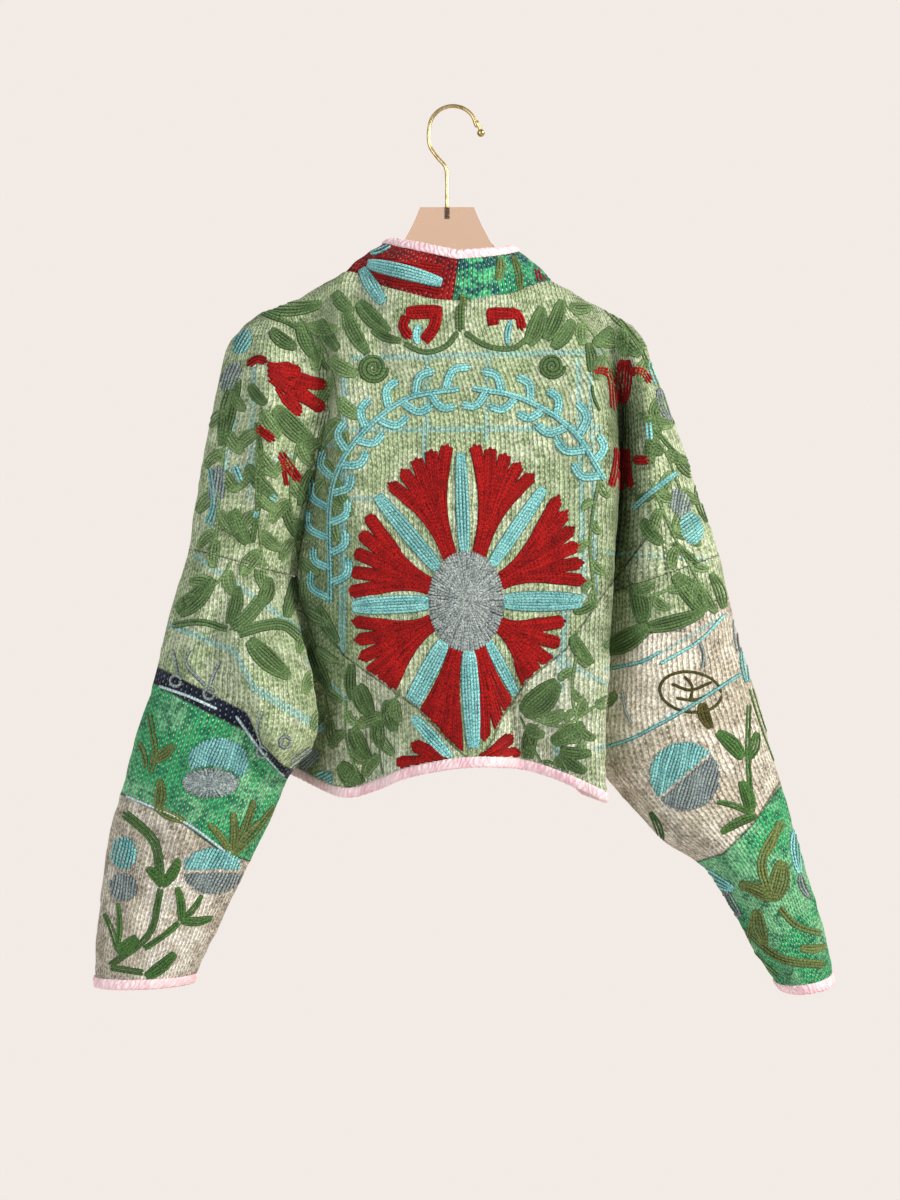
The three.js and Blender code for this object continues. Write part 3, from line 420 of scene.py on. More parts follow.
def frontPoints(hand, at, shares):
    which = 0 if hand < 0 else 1
    inner = []
    for name in ("ridge", "mid", "open"):
        x = middleX + hand * smooth(frontTable[name + "X"], at)
        if name == "ridge":
            neck = smooth(backTable["leftX" if hand < 0 else "rightX"], at)
            x = np.where(at < 1, mix(neck, x, np.clip(at, 0, 1)), x)
        top, hem = {name: frontTopZ[name][which]}, {name: frontHemZ[name][which]}
        y = rounded(frontTable[name + "Y"], at)
        inner.append(np.stack([x, y, drop(at, name, top, hem)], -1))
    out = alongStations(np.stack([trunkEdge(hand, at, 1), *inner]), shares, at)
    edge = np.minimum(1, np.minimum(4 * shares, 3 * (1 - shares)))[None]
    out[..., 1] -= edge * np.clip(at, 0, 1)[:, None] * foldDepth("front", out[..., 0], out[..., 2])
    return out


# The collar from a front's open edge (0) to the centre back (1), for rows from seam to edge.
def collarPoints(hand, ups, rounds):
    which = 0 if hand < 0 else 1
    top = np.array(
        [
            collarTop["frontOpen"][which],
            collarTop["frontMid"][which],
            collarTop["backLeft" if hand < 0 else "backRight"],
            collarTop["backMidLeft" if hand < 0 else "backMidRight"],
            collarTop["backCentre"],
        ],
        float,
    )[:, None]
    edge = alongStations(top, rounds, np.ones(1))[0]
    none = np.zeros(1)
    seam = np.zeros_like(edge)
    front = rounds <= 0.5
    seam[front] = frontPoints(hand, none, mix(1, 1 / 3, rounds[front] / 0.5))[0]
    share = mix(1 / 6, 1 / 2, (rounds[~front] - 0.5) / 0.5)
    seam[~front] = backPoints(none, share if hand < 0 else 1 - share)[0]
    seam[:, 2] += 0.5
    outward = edge - [middleX, 0, 0]
    outward[:, 2] = 0
    outward /= np.linalg.norm(outward, axis=1)[:, None]
    bow = 4 * np.sin(np.pi * ups)[:, None, None]
    return mix(seam[None], edge[None], ups[:, None, None]) + bow * outward[None]


noiseTable = rng.random((32, 32, 32))
cloth = {
    "thickness": 2.2,  # mm, with its quilting
    "cell": 3.0,  # mm, of the grids
    "crinkle": 0.8,  # mm, height of the small puckers
    "crinkleSize": 9,  # mm
    "slack": 1.3,  # mm, height of the softer waves
    "slackSize": 30,  # mm
    "armWidth": 108,  # mm, half round, for the number of cells
    "backWidth": 330,
    "frontWidth": 160,
    "collarWidth": 150,
    "tuck": -0.03,  # share of its height by which the collar goes under its seam
    "apart": 0.8,  # mm by which a sleeve's two halves part along its inner edge
}


def noise(points, size):
    place = points / size
    low = np.floor(place).astype(int)
    f = place - low
    f = f * f * (3 - 2 * f)
    total = np.zeros(points.shape[:-1])
    for corner in np.ndindex(2, 2, 2):
        weight = np.prod(np.where(np.array(corner) == 1, f, 1 - f), axis=-1)
        i, j, k = ((low[..., axis] + corner[axis]) % 32 for axis in range(3))
        total += weight * noiseTable[i, j, k]
    return 2 * total - 1


def unit(vectors):
    return vectors / np.maximum(np.linalg.norm(vectors, axis=-1, keepdims=True), 1e-9)


def gridNormals(points, wrap=False):
    down = np.gradient(points, axis=0)
    if wrap:
        across = (np.roll(points, -1, axis=1) - np.roll(points, 1, axis=1)) / 2
    else:
        across = np.gradient(points, axis=1)
    return unit(np.cross(down, across))


def relief(points):
    small = cloth["crinkle"] * noise(points, cloth["crinkleSize"])
    return small + cloth["slack"] * noise(points + 500, cloth["slackSize"])


# From a point of the garment to where the photograph's camera sees it: pixels across and down.
camera = {"place": (-3, -1900, -492), "lens": 57, "originPixel": (453, 108)}


def toPhoto(points):
    cx, cy, cz = camera["place"]
    scale = -cy / (points[..., 1] - cy)
    x = cx + (points[..., 0] - cx) * scale
    z = cz + (points[..., 2] - cz) * scale
    return np.stack([camera["originPixel"][0] + x, camera["originPixel"][1] - z], -1)


# Signed distance in pixels to a polygon's edge, positive inside it.
def inside(pixels, polygon):
    corners = np.array(polygon, float)
    best = np.full(pixels.shape[:-1], 1e9)
    within = np.zeros(pixels.shape[:-1], bool)
    for a, b in zip(corners, np.roll(corners, -1, axis=0)):
        way = b - a
        share = np.clip(((pixels - a) @ way) / (way @ way), 0, 1)
        away = np.linalg.norm(pixels - a - share[..., None] * way, axis=-1)
        best = np.minimum(best, away)
        if a[1] != b[1]:
            crosses = (a[1] > pixels[..., 1]) != (b[1] > pixels[..., 1])
            meets = a[0] + (pixels[..., 1] - a[1]) / (b[1] - a[1]) * (b[0] - a[0])
            within ^= crosses & (pixels[..., 0] < meets)
    return np.where(within, best, -best)


def newObject(name, points, faces):
    mesh = bpy.data.meshes.new(name)
    mesh.from_pydata((np.asarray(points) * mm).tolist(), [], np.asarray(faces).tolist())
    mesh.update()
    made = bpy.data.objects.new(name, mesh)
    bpy.context.scene.collection.objects.link(made)
    mesh.polygons.foreach_set("use_smooth", [True] * len(mesh.polygons))
    return made


def addUv(made, name, values):
    layer = made.data.uv_layers.new(name=name)
    loops = np.zeros(len(made.data.loops), int)
    made.data.loops.foreach_get("vertex_index", loops)
    layer.data.foreach_set("uv", np.asarray(values)[loops].ravel())


def addNumber(made, name, values):
    made.data.attributes.new(name, "FLOAT", "POINT").data.foreach_set("value", np.asarray(values))


# Stripes of the windowpane weave: lines in the photograph's view, and half their width.
paneLines = [
    ((196, 556), (254, 597), 2.6), ((254, 597), (306, 634), 2.6),
    ((170, 625), (234, 651), 2.8), ((234, 651), (254, 688), 2.8), ((254, 688), (322, 729), 4.0),
    ((254, 366), (250, 500), 2.2), ((228, 470), (296, 455), 2.0), ((208, 540), (236, 420), 1.8),
    ((344, 372), (342, 650), 3.4), ((352, 358), (604, 352), 2.4), ((352, 430), (600, 428), 2.6),
    ((310, 445), (342, 444), 2.2), ((428, 350), (424, 470), 2.2), ((488, 350), (486, 440), 2.0),
    ((578, 360), (584, 600), 2.6), ((590, 370), (596, 600), 2.0), ((345, 498), (390, 499), 2.0),
    ((566, 600), (560, 690), 3.4), ((556, 742), (562, 790), 3.0), ((522, 640), (606, 684), 2.0),
    ((352, 596), (372, 600), 3.0), ((604, 552), (706, 560), 1.6), ((604, 669), (646, 662), 1.8),
    ((646, 662), (686, 638), 1.8), ((686, 638), (726, 615), 1.8), ((595, 749), (630, 740), 2.0),
    ((630, 740), (675, 713), 2.0), ((675, 713), (742, 674), 2.0), ((308, 660), (346, 700), 2.2),
]


def paneDistance(pixels):
    nearest = np.full(pixels.shape[:-1], 50.0)
    for a, b, half in paneLines:
        a, way = np.array(a, float), np.array(b, float) - a
        share = np.clip(((pixels - a) @ way) / (way @ way), 0, 1)
        away = np.linalg.norm(pixels - a - share[..., None] * way, axis=-1)
        nearest = np.minimum(nearest, away - half)
    return nearest


# A piece of cloth over a grid of points in mm. keep says which cells there are.
def clothPiece(name, points, zones, keep=None, wrap=False, flip=False):
    rows, columns = points.shape[:2]
    normals = gridNormals(points, wrap) * (-1 if flip else 1)
    points = points + normals * relief(points)[..., None]
    ids = np.arange(rows * columns).reshape(rows, columns)
    nextIds = np.roll(ids, -1, axis=1) if wrap else ids[:, 1:]
    ids = ids if wrap else ids[:, :-1]
    quads = np.stack([ids[:-1], ids[1:], nextIds[1:], nextIds[:-1]], -1)
    if flip:
        quads = quads[..., ::-1]
    quads = quads.reshape(-1, 4) if keep is None else quads[keep]
    used, faces = np.unique(quads, return_inverse=True)
    flat = points.reshape(-1, 3)[used]
    made = newObject(name, flat, faces.reshape(-1, 4))
    valid = np.ones((rows, columns), bool)
    if keep is not None:
        valid = np.isin(np.arange(rows * columns), used).reshape(rows, columns)
    widths = np.linalg.norm(np.diff(points, axis=1), axis=-1)
    both = valid[:, 1:] & valid[:, :-1]
    mean = (widths * both).sum(0) / np.maximum(both.sum(0), 1)
    across = np.concatenate([[0], np.cumsum(mean)])
    lengths = np.linalg.norm(np.diff(points, axis=0), axis=-1)
    down = np.concatenate([np.zeros((1, columns)), np.cumsum(lengths, axis=0)])
    stitch = np.stack([np.broadcast_to(across, down.shape), down], -1).reshape(-1, 2)[used]
    addUv(made, "stitch", stitch)
    pixels = toPhoto(flat)
    for zone, polygon in zones.items():
        addNumber(made, zone, inside(pixels, polygon))
    addNumber(made, "pane", paneDistance(pixels))
    surface = sum(face.area for face in made.data.polygons)
    thick = made.modifiers.new("cloth thickness", "SOLIDIFY")
    thick.thickness = cloth["thickness"] * mm
    thick.offset = -1
    made["flat"] = (across[-1] * mm, down.max() * mm)
    made["cut"] = surface
    return made


def shares(length):
    return np.linspace(0, 1, max(4, round(length / cloth["cell"])) + 1)


upperLevels = np.linspace(0, level["armhole"], 91)
lowerLevels = np.linspace(level["armhole"], level["hem"], 72)[1:]
trunkLevels = np.concatenate([upperLevels, lowerLevels])
sleeveLevels = np.linspace(level["armhole"] + 0.012, level["cuff"], 144)
armShares = shares(cloth["armWidth"])
armCells = len(armShares) - 1


def armGrid(hand, side):
    at, around = np.meshgrid(upperLevels, armShares, indexing="ij")
    grid = armPoints(hand, at, around, side)
    spare = np.repeat(grid[-1:], len(lowerLevels), axis=0)
    return np.concatenate([grid, spare])


def backGrid():
    trunk = backPoints(trunkLevels, shares(cloth["backWidth"]))
    left, right = armGrid(-1, -1), armGrid(1, -1)[:, ::-1]
    grid = np.concatenate([left[:, :-1], trunk, right[:, 1:]], axis=1)
    keep = np.ones((grid.shape[0] - 1, grid.shape[1] - 1), bool)
    keep[len(upperLevels) - 1 :, :armCells] = False
    keep[len(upperLevels) - 1 :, -armCells:] = False
    return grid, keep


def frontGrid(hand):
    trunk = frontPoints(hand, trunkLevels, shares(cloth["frontWidth"]))
    grid = np.concatenate([armGrid(hand, 1)[:, :-1], trunk], axis=1)
    keep = np.ones((grid.shape[0] - 1, grid.shape[1] - 1), bool)
    keep[len(upperLevels) - 1 :, :armCells] = False
    return grid, keep


def sleeveGrid(hand, levels=sleeveLevels):
    at, around = np.meshgrid(levels, armShares, indexing="ij")
    back = armPoints(hand, at, around, -1)
    front = armPoints(hand, at, around, 1)[:, ::-1]
    back[..., 0] += hand * cloth["apart"] * around
    front[..., 0] += hand * cloth["apart"] * around[:, ::-1]
    return np.concatenate([back, front[:, 1:-1]], axis=1)


def collarGrid(hand):
    return collarPoints(hand, np.linspace(cloth["tuck"], 1, 17), shares(cloth["collarWidth"]))


# Patches of the patchwork, and two zones of painted shade (shade and green), as polygons in the
# photograph's view.
patches = {
    "backLeft": [
        (344, 656), (354, 663), (394, 692), (417, 708), (453, 746), (469, 760), (469, 900),
        (200, 900), (200, 560), (318, 620),
    ],
    "backRight": [
        (660, 520), (603, 595), (566, 649), (552, 661), (526, 682), (514, 701), (502, 718),
        (493, 739), (481, 758), (481, 900), (700, 900),
    ],
    # Painted shade, not a patch: the dark valley between the back and the right arm.
    "shade": [
        (606, 390), (640, 380), (644, 440), (640, 500), (636, 560), (640, 610), (610, 652),
        (600, 650), (604, 566), (608, 470),
    ],
    # Painted shade, not a patch: the shaded valley down the left side of the back.
    "green": [
        (305, 440), (346, 440), (350, 560), (352, 640), (346, 700), (320, 780), (296, 780),
        (300, 600),
    ],
    "navy": [
        (90, 640), (161, 669), (212, 695), (247, 713), (259, 742), (283, 766), (360, 800),
        (360, 815), (286, 778), (259, 751), (247, 731), (203, 710), (155, 684), (90, 656),
    ],
    "emerald": [
        (90, 650), (155, 684), (203, 710), (247, 731), (259, 751), (286, 778), (360, 815),
        (360, 900), (60, 900),
    ],
    "taupe": [
        (60, 772), (124, 795), (183, 824), (224, 854), (245, 860), (330, 880), (330, 1060),
        (40, 1060),
    ],
    "cream": [(150, 868), (196, 862), (214, 880), (206, 935), (180, 975), (150, 980), (132, 930)],
    "rightTaupe": [
        (560, 664), (603, 659), (639, 641), (657, 629), (684, 632), (684, 617), (711, 602),
        (760, 592), (860, 700), (780, 782), (753, 824), (723, 854), (699, 861), (600, 900),
        (540, 760),
    ],
    "rightCream": [
        (606, 668), (650, 640), (690, 622), (700, 660), (690, 704), (656, 730), (620, 742),
        (602, 716),
    ],
    "rightEmerald": [
        (640, 888), (699, 861), (723, 854), (753, 824), (777, 791), (800, 770), (900, 900),
        (900, 1060), (600, 1060),
    ],
}


def zonesOf(*names):
    return {name: patches[name] for name in names}


grid, keep = backGrid()
backCloth = clothPiece("back_cloth", grid, zonesOf("backLeft", "backRight", "shade", "green"), keep)
frontCloths = {}
for hand, name in ((-1, "front_cloth_left"), (1, "front_cloth_right")):
    grid, keep = frontGrid(hand)
    frontCloths[hand] = clothPiece(name, grid, {}, keep, flip=hand < 0)
leftZones = zonesOf("emerald", "navy", "taupe", "cream")
rightZones = zonesOf("rightTaupe", "rightCream", "rightEmerald")
sleeveCloths = {
    -1: clothPiece("sleeve_cloth_left", sleeveGrid(-1), leftZones, wrap=True),
    1: clothPiece("sleeve_cloth_right", sleeveGrid(1), rightZones, wrap=True, flip=True),
}
collarCloths = {
    hand: clothPiece("collar_cloth_" + name, collarGrid(hand), {}, flip=hand < 0)
    for hand, name in ((-1, "left"), (1, "right"))
}
print("stage: cloth made")


binding = {
    "lap": 9.0,  # mm onto the cloth
    "proud": 1.5,  # mm past the cloth's face and edge
    "pucker": 0.55,  # mm
    "puckerPitch": 7.0,  # mm along the edge
    "step": 1.8,  # mm along the edge
    "hemLap": 9 / 31,  # the lap in levels at the hem and at the cuffs
    "cuffLap": 9 / 29,
    "frontLap": 9 / 165,  # and as a share of a front's width
    "neckLap": 0.065,  # and of the way round the collar
    "collarLap": 0.82,  # how far up the collar its binding begins
    "short": 6,  # points by which the hem's binding ends before the fronts' bindings
    "points": 120,  # across each part of the hem
}


edgePoints = []


# Evenly spaced points along a line. Its first columns are its places and give its length.
def resample(line, step, fewest=3):
    line = np.asarray(line, float)
    steps = np.linalg.norm(np.diff(line[:, :3], axis=0), axis=1)
    lengths = np.concatenate([[0], np.cumsum(steps)])
    at = np.linspace(0, lengths[-1], max(fewest, round(lengths[-1] / step) + 1))
    return np.stack([np.interp(at, lengths, column) for column in line.T], -1)


def evenly(edge, lap, loop):
    if loop:
        edge, lap = np.concatenate([edge, edge[:1]]), np.concatenate([lap, lap[:1]])
    both = resample(np.concatenate([edge, lap], axis=1), binding["step"], 4)
    if loop:
        both = both[:-1]
    return both[:, :3], both[:, 3:]


# Pink cotton folded over an edge. outward gives the cloth's outer side at each point.
def bindingPiece(name, edge, lap, outward, loop=False):
    edge, lap = evenly(edge, lap, loop)
    edgePoints.extend(edge.tolist())
    if loop:
        way = unit(np.roll(edge, -1, axis=0) - np.roll(edge, 1, axis=0))
    else:
        way = unit(np.gradient(edge, axis=0))
    reach = unit(edge - lap)
    normal = unit(np.cross(way, reach))
    normal *= np.sign((normal * outward(edge)).sum(-1))[:, None]
    n = len(edge)
    along = np.arange(n) * binding["step"]
    proud, thick, lapped = binding["proud"], cloth["thickness"], binding["lap"]
    # The section: how far out from the cloth's face, and how far back from its edge.
    section = [
        (0.1, lapped),
        (proud * 0.8, lapped - 0.3),
        (proud * 1.15, lapped * 0.72),
        (proud * 1.2, lapped * 0.4),
        (proud, 1.0),
        (proud * 0.6, -proud * 0.8),
        (-thick / 2, -proud * 1.1),
        (-thick - proud * 0.6, -proud * 0.8),
        (-thick - proud, 1.0),
        (-thick - proud * 1.2, lapped * 0.4),
        (-thick - proud * 1.1, lapped * 0.72),
        (-thick - proud * 0.8, lapped - 0.3),
        (-thick - 0.1, lapped),
        (-thick / 2, lapped * 0.6),
    ]
    rings = []
    for k, (out, back) in enumerate(section):
        slant = along + 2.2 * np.sin(along / 19.0) + 0.35 * back
        crease = np.sin(2 * np.pi * slant / binding["puckerPitch"])
        crease = crease + 0.5 * np.sin(2 * np.pi * slant / 4.3 + 1.7)
        hidden = 0.5 if k in (0, 12, 13) else 1.0  # the lapped edges lie flatter
        swell = binding["pucker"] * crease * hidden * (1 if out > 0 else -1)
        scallop = 0.25 * np.sin(2 * np.pi * along / binding["puckerPitch"] + 0.6) * (back < 2)
        rings.append(
            edge + normal * (out + 0.6 * swell)[:, None] - reach * (back - scallop)[:, None]
        )
    points = np.stack(rings, 1)
    count = len(section)
    ids = np.arange(n * count).reshape(n, count)
    following = np.roll(ids, -1, axis=0) if loop else ids[1:]
    ids = ids if loop else ids[:-1]
    corners = [ids, following, np.roll(following, -1, axis=1), np.roll(ids, -1, axis=1)]
    quads = np.stack(corners, -1).reshape(-1, 4)
    made = newObject(name, points.reshape(-1, 3), quads)
    across = np.broadcast_to(np.linspace(0, 30, count), (n, count))
    addUv(made, "band", np.stack([np.repeat(along, count), across.ravel()], -1))
    bm = bmesh.new()
    bm.from_mesh(made.data)
    if not loop:
        bmesh.ops.holes_fill(bm, edges=[e for e in bm.edges if e.is_boundary], sides=0)
    bmesh.ops.recalc_face_normals(bm, faces=bm.faces)
    bm.to_mesh(made.data)
    bm.free()
    return made


def awayFrom(x, y):
    return lambda points: points * [1, 1, 0] - [x, y, 0]


def hemLine(at):
    at = np.array([at])
    dense = np.linspace(0, 1, binding["points"])
    left, right = (frontPoints(hand, at, dense)[0] for hand in (-1, 1))
    back = backPoints(at, dense)[0]
    trim = binding["points"] - binding["short"]
    return np.concatenate([left[:trim][::-1], back[1:], right[1:trim]])


def frontLine(hand, back):
    lap = np.array([1 - back * binding["frontLap"]])
    levels = np.linspace(0, level["hem"], 60)
    trunk = np.stack([frontPoints(hand, levels[k : k + 1], lap)[0, 0] for k in range(60)])
    collar = collarPoints(hand, np.linspace(0, 1, 12), np.array([back * binding["neckLap"]]))[:, 0]
    return np.concatenate([trunk[::-1], collar[1:]])


def collarLine(up):
    rounds = np.linspace(0.07, 1, 70)
    left = collarPoints(-1, np.array([up]), rounds)[0]
    right = collarPoints(1, np.array([up]), rounds)[0]
    return np.concatenate([left, right[:-1][::-1]])


bindings = {
    "hem_band": bindingPiece(
        "hem_band",
        hemLine(level["hem"]),
        hemLine(level["hem"] - binding["hemLap"]),
        awayFrom(middleX, 0),
    ),
    "collar_band": bindingPiece(
        "collar_band", collarLine(1), collarLine(binding["collarLap"]), awayFrom(middleX, 0)
    ),
}
for hand, side in ((-1, "left"), (1, "right")):
    cuff = sleeveGrid(hand, np.array([level["cuff"] - binding["cuffLap"], level["cuff"]]))
    middle = cuff[1].mean(0)
    bindings["cuff_band_" + side] = bindingPiece(
        "cuff_band_" + side, cuff[1], cuff[0], awayFrom(middle[0], middle[1]), loop=True
    )
    bindings["front_band_" + side] = bindingPiece(
        "front_band_" + side,
        frontLine(hand, 0),
        frontLine(hand, 1),
        lambda points: np.array([0, 1, 0]) + 0 * points,
    )
print("stage: bindings made")


# What the lines of sight are cast on.
def treeOf(objects):
    points, faces = [], []
    for made in objects:
        start = len(points)
        points += [tuple(v.co) for v in made.data.vertices]
        faces += [tuple(start + i for i in face.vertices) for face in made.data.polygons]
    return BVHTree.FromPolygons(points, faces)


grounds = [backCloth, *frontCloths.values(), *sleeveCloths.values(), *collarCloths.values()]
groundTree = treeOf(grounds)
frontTree = treeOf([*frontCloths.values(), *sleeveCloths.values()])
edgeTree = KDTree(len(edgePoints))
for number, spot in enumerate(edgePoints):
    edgeTree.insert(spot, number)
edgeTree.balance()
thread = {
    "row": 3.0,  # mm, from one row of chain stitch to the next
    "width": 3.6,  # mm
    "height": 1.15,  # mm
    "step": 1.9,  # mm along a row; two steps make a link
    "gap": 9.0,  # mm, past which a row is broken off between two folds
    "clear": 9.6,  # mm kept free of the bindings' edges
}
rowMark = 1000.0  # a row's number times this is added to its lengths, for its own tone


# Where lines of sight from the photograph's side, or from straight in front, meet the cloth.
def onCloth(pixels, fromFront=False):
    spots, normals, held = [], [], []
    for px, py in pixels:
        x, z = px - camera["originPixel"][0], camera["originPixel"][1] - py
        if fromFront:
            start, aim = Vector((x, 1900, z)) * mm, Vector((0, -1, 0))
        else:
            start = Vector(camera["place"]) * mm
            aim = (Vector((x, 0, z)) * mm - start).normalized()
        tree = frontTree if fromFront else groundTree
        spot, normal, _, _ = tree.ray_cast(start, aim)
        if spot is None:
            spots.append((0, 0, 0))
            normals.append((0, 0, 0))
            held.append(False)
            continue
        spots.append(tuple(spot / mm))
        normals.append(tuple(normal))
        held.append(edgeTree.find(spot / mm)[2] > thread["clear"])
    return np.array(spots), np.array(normals), np.array(held)


# A smooth line through a few points.
def curveThrough(points, step=2.5):
    points = np.asarray(points, float)
    if len(points) < 3:
        return resample(points, step)
    flat = np.concatenate([points, np.zeros((len(points), 1))], 1)[:, None]
    fine = alongStations(flat, np.linspace(0, 1, 16 * len(points)), np.full(1, 2.0))
    return resample(fine[0, :, :2], step)


def sidewise(line):
    way = unit(np.gradient(line, axis=0))
    return np.stack([-way[:, 1], way[:, 0]], -1)


def rowsAcross(width):
    count = max(1, round(width / thread["row"]))
    return (np.arange(count) - (count - 1) / 2) / count * 2


# The stretches of a line whose points are held.
def runs(line, held):
    breaks = np.flatnonzero(np.diff(held.astype(int))) + 1
    parts = zip(np.split(line, breaks), np.split(held, breaks))
    return [part for part, on in parts if on[0] and len(part) > 2]


# A stem or outline: rows side by side, the outer ones shorter, so that both ends are round.
def stem(points, width=3.5):
    line = curveThrough(points)
    side = sidewise(line)
    lengths = np.concatenate([[0], np.cumsum(np.linalg.norm(np.diff(line, axis=0), axis=1))])
    rows = []
    for share in rowsAcross(width):
        short = width / 2 * (1 - math.sqrt(max(0, 1 - share**2)))
        held = (lengths >= short) & (lengths <= lengths[-1] - short)
        if held.sum() > 2:
            rows.append((line + side * share * width / 2)[held])
    return rows


# A leaf or petal: rows that part from its root, swell and meet again at its tip.
def leaf(root, tip, width, bend=2.0, blunt=0.6):
    root, tip = np.array(root, float), np.array(tip, float)
    way = tip - root
    across = np.array([-way[1], way[0]]) / max(np.hypot(*way), 1e-6)
    t = np.linspace(0, 1, 24)
    middle = root + t[:, None] * way + (bend * np.sin(np.pi * t))[:, None] * across
    swell = np.sin(np.pi * np.clip(0.04 + 0.92 * t**0.85, 0, 1)) ** blunt
    return [middle + (share * width / 2 * swell)[:, None] * across for share in rowsAcross(width)]


# A place from 0 to 1 for each number, each as far from those before as can be.
def scattered(number):
    return int(f"{number:06b}"[::-1], 2) / 64


# A fan of fingers from a foot. Each keeps to its neighbours and then parts from them to a round
# tip of its own; bend says how long it follows the fan's middle. Rows come in as it widens.
def fan(foot, tips, bend=0.35, most=12.0):
    foot, tips = np.array(foot, float), np.array(tips, float)
    t = np.linspace(0, 1, 44)[:, None]
    middle = unit(tips.mean(0) - foot.mean(0))
    narrow = np.linalg.norm(foot[1] - foot[0]) / len(tips)
    gaps = np.linalg.norm(np.diff(tips, axis=0), axis=1)
    rows, total = [], gaps.mean() * len(tips) / thread["width"]
    for k, tip in enumerate(tips):
        start = mix(foot[0], foot[1], (k + 0.5) / len(tips))
        long = np.linalg.norm(tip - start)
        turn = start + middle * bend * long
        line = (1 - t) ** 2 * start + 2 * t * (1 - t) * turn + t**2 * tip
        wide = gaps[max(k - 1, 0) : k + 1].mean()
        own = min(0.7 * wide, most)
        part = np.clip((t - 0.62) / 0.16, 0, 1)
        spread = mix(mix(narrow, wide, t**2) * 1.08, own, part * part * (3 - 2 * part))
        count = max(3, round(wide / thread["width"]))
        for n in range(count):
            share = (n + 0.5) / count * 2 - 1
            reach = 1 - own / 2 * (1 - math.sqrt(1 - share**2)) / long
            room = 1.35 * len(tips) * spread[:, 0] / thread["row"]
            fits = np.append(np.flatnonzero(room >= scattered(8 * k + n) * total), 24)
            last = int(reach * (len(t) - 1)) + 1
            rows.append((line + sidewise(line) * share * spread / 2)[min(fits) : last])
    return rows


def oval(centre, rx, ry, lean=0.0):
    turn = np.radians(np.arange(0, 360, 10))
    x, y = rx * np.cos(turn), ry * np.sin(turn)
    cosine, sine = math.cos(math.radians(lean)), math.sin(math.radians(lean))
    return np.array(centre) + np.stack([x * cosine - y * sine, x * sine + y * cosine], -1)


# An outline filled with rows side by side, at an angle to the picture's width.
def hatch(outline, angle=90.0):
    outline = np.array(outline, float)
    way = np.array([math.cos(math.radians(angle)), -math.sin(math.radians(angle))])
    side = np.array([-way[1], way[0]])
    along, across = outline @ way, outline @ side
    rows = []
    for n, place in enumerate(np.arange(across.min() + 1.2, across.max(), thread["row"])):
        at = np.arange(along.min(), along.max(), thread["step"])
        line = np.outer(at, way) + np.outer(place + 0.7 * np.sin(at / 8 + n * 0.5), side)
        rows += runs(line, inside(line, outline) > 0.8)
    return rows


# A disc of short rows that point away from its middle.
def radial(centre, rx, ry, bands=4):
    rows = []
    for band in range(bands):
        low, high = band / bands, (band + 1) / bands
        count = max(7, round(np.pi * high * (rx + ry) / thread["row"]))
        for k in range(count):
            turn = 2 * np.pi * (k + 0.4 * rng.random()) / count
            outer = high if band == bands - 1 else high + 0.08 * rng.random()
            ends = [max(low - 0.1 * rng.random(), 0.02), outer]
            rows.append(np.array(centre) + np.outer(ends, [rx * np.cos(turn), ry * np.sin(turn)]))
    return rows


def spiral(centre, radius, turns):
    t = np.linspace(0, 1, 60)
    turn = 2 * np.pi * turns * t
    way = np.stack([np.cos(turn), np.sin(turn)], -1)
    return [np.array(centre) + (radius * (1 - 0.92 * t))[:, None] * way]


# A stalk with leaves to either side by turns, and one at its end.
def branch(points, long=26, wide=12, gap=17, stalk=4, spread=42):
    line = curveThrough(points)
    rows = stem(points, stalk)
    stride = max(1, round(gap / 2.5))
    for n, i in enumerate(range(stride // 2, len(line) - 2, stride)):
        way = unit(line[i + 1] - line[i - 1])
        turn = math.radians(spread if n % 2 else -spread)
        turned = np.array(
            [
                way[0] * math.cos(turn) - way[1] * math.sin(turn),
                way[0] * math.sin(turn) + way[1] * math.cos(turn),
            ]
        )
        size = 0.85 + 0.3 * rng.random()
        rows += leaf(line[i] + 2 * turned, line[i] + long * size * turned, wide * size)
    return rows + leaf(line[-1], line[-1] + long * unit(line[-1] - line[-3]), wide)


# The parts of rows that lie outside a polygon.
def outside(rows, polygon):
    kept = []
    for row in rows:
        row = resample(row, thread["step"])
        kept += runs(row, inside(row, polygon) < -1)
    return kept


# The parts of rows on one side of a line through a place; degrees is the way to that side.
def sideOf(rows, place, degrees):
    way = np.array([math.cos(math.radians(degrees)), -math.sin(math.radians(degrees))])
    kept = []
    for row in rows:
        row = resample(row, thread["step"])
        kept += runs(row, (row - place) @ way > 0.8)
    return kept


# A vine: a stalk with curled strokes to either side by turns.
def vine(points, long=25, gap=15, wide=8, stalk=5.5):
    line = curveThrough(points)
    rows = stem(points, stalk)
    stride = max(1, round(gap / 2.5))
    for n, i in enumerate(range(stride // 2, len(line) - 2, stride)):
        way = unit(line[i + 1] - line[i - 1])
        side = np.array([-way[1], way[0]]) * (1 if n % 2 else -1)
        reach = long * (0.85 + 0.3 * rng.random())
        turns = [(0, 0), (0.4, 0.7), (1.05, 0.75)]
        rows += stem([line[i] + reach * (a * way + b * side) for a, b in turns], wide)
    return rows


def leaves(*shapes):
    return [row for shape in shapes for row in leaf(*shape)]


def stems(*shapes):
    return [row for points, width in shapes for row in stem(points, width)]


def hatches(*shapes):
    return [row for outline, angle in shapes for row in hatch(outline, angle)]


# mm by which a thread lies over those it crosses
lifts = {
    "embroidery_olive": 0.2,
    "embroidery_red": 0.3,
    "embroidery_turquoise": 0.45,
    "embroidery_grey": 0.45,
    "embroidery_collar_turquoise": 0.9,
    "embroidery_disc": 0.5,
}


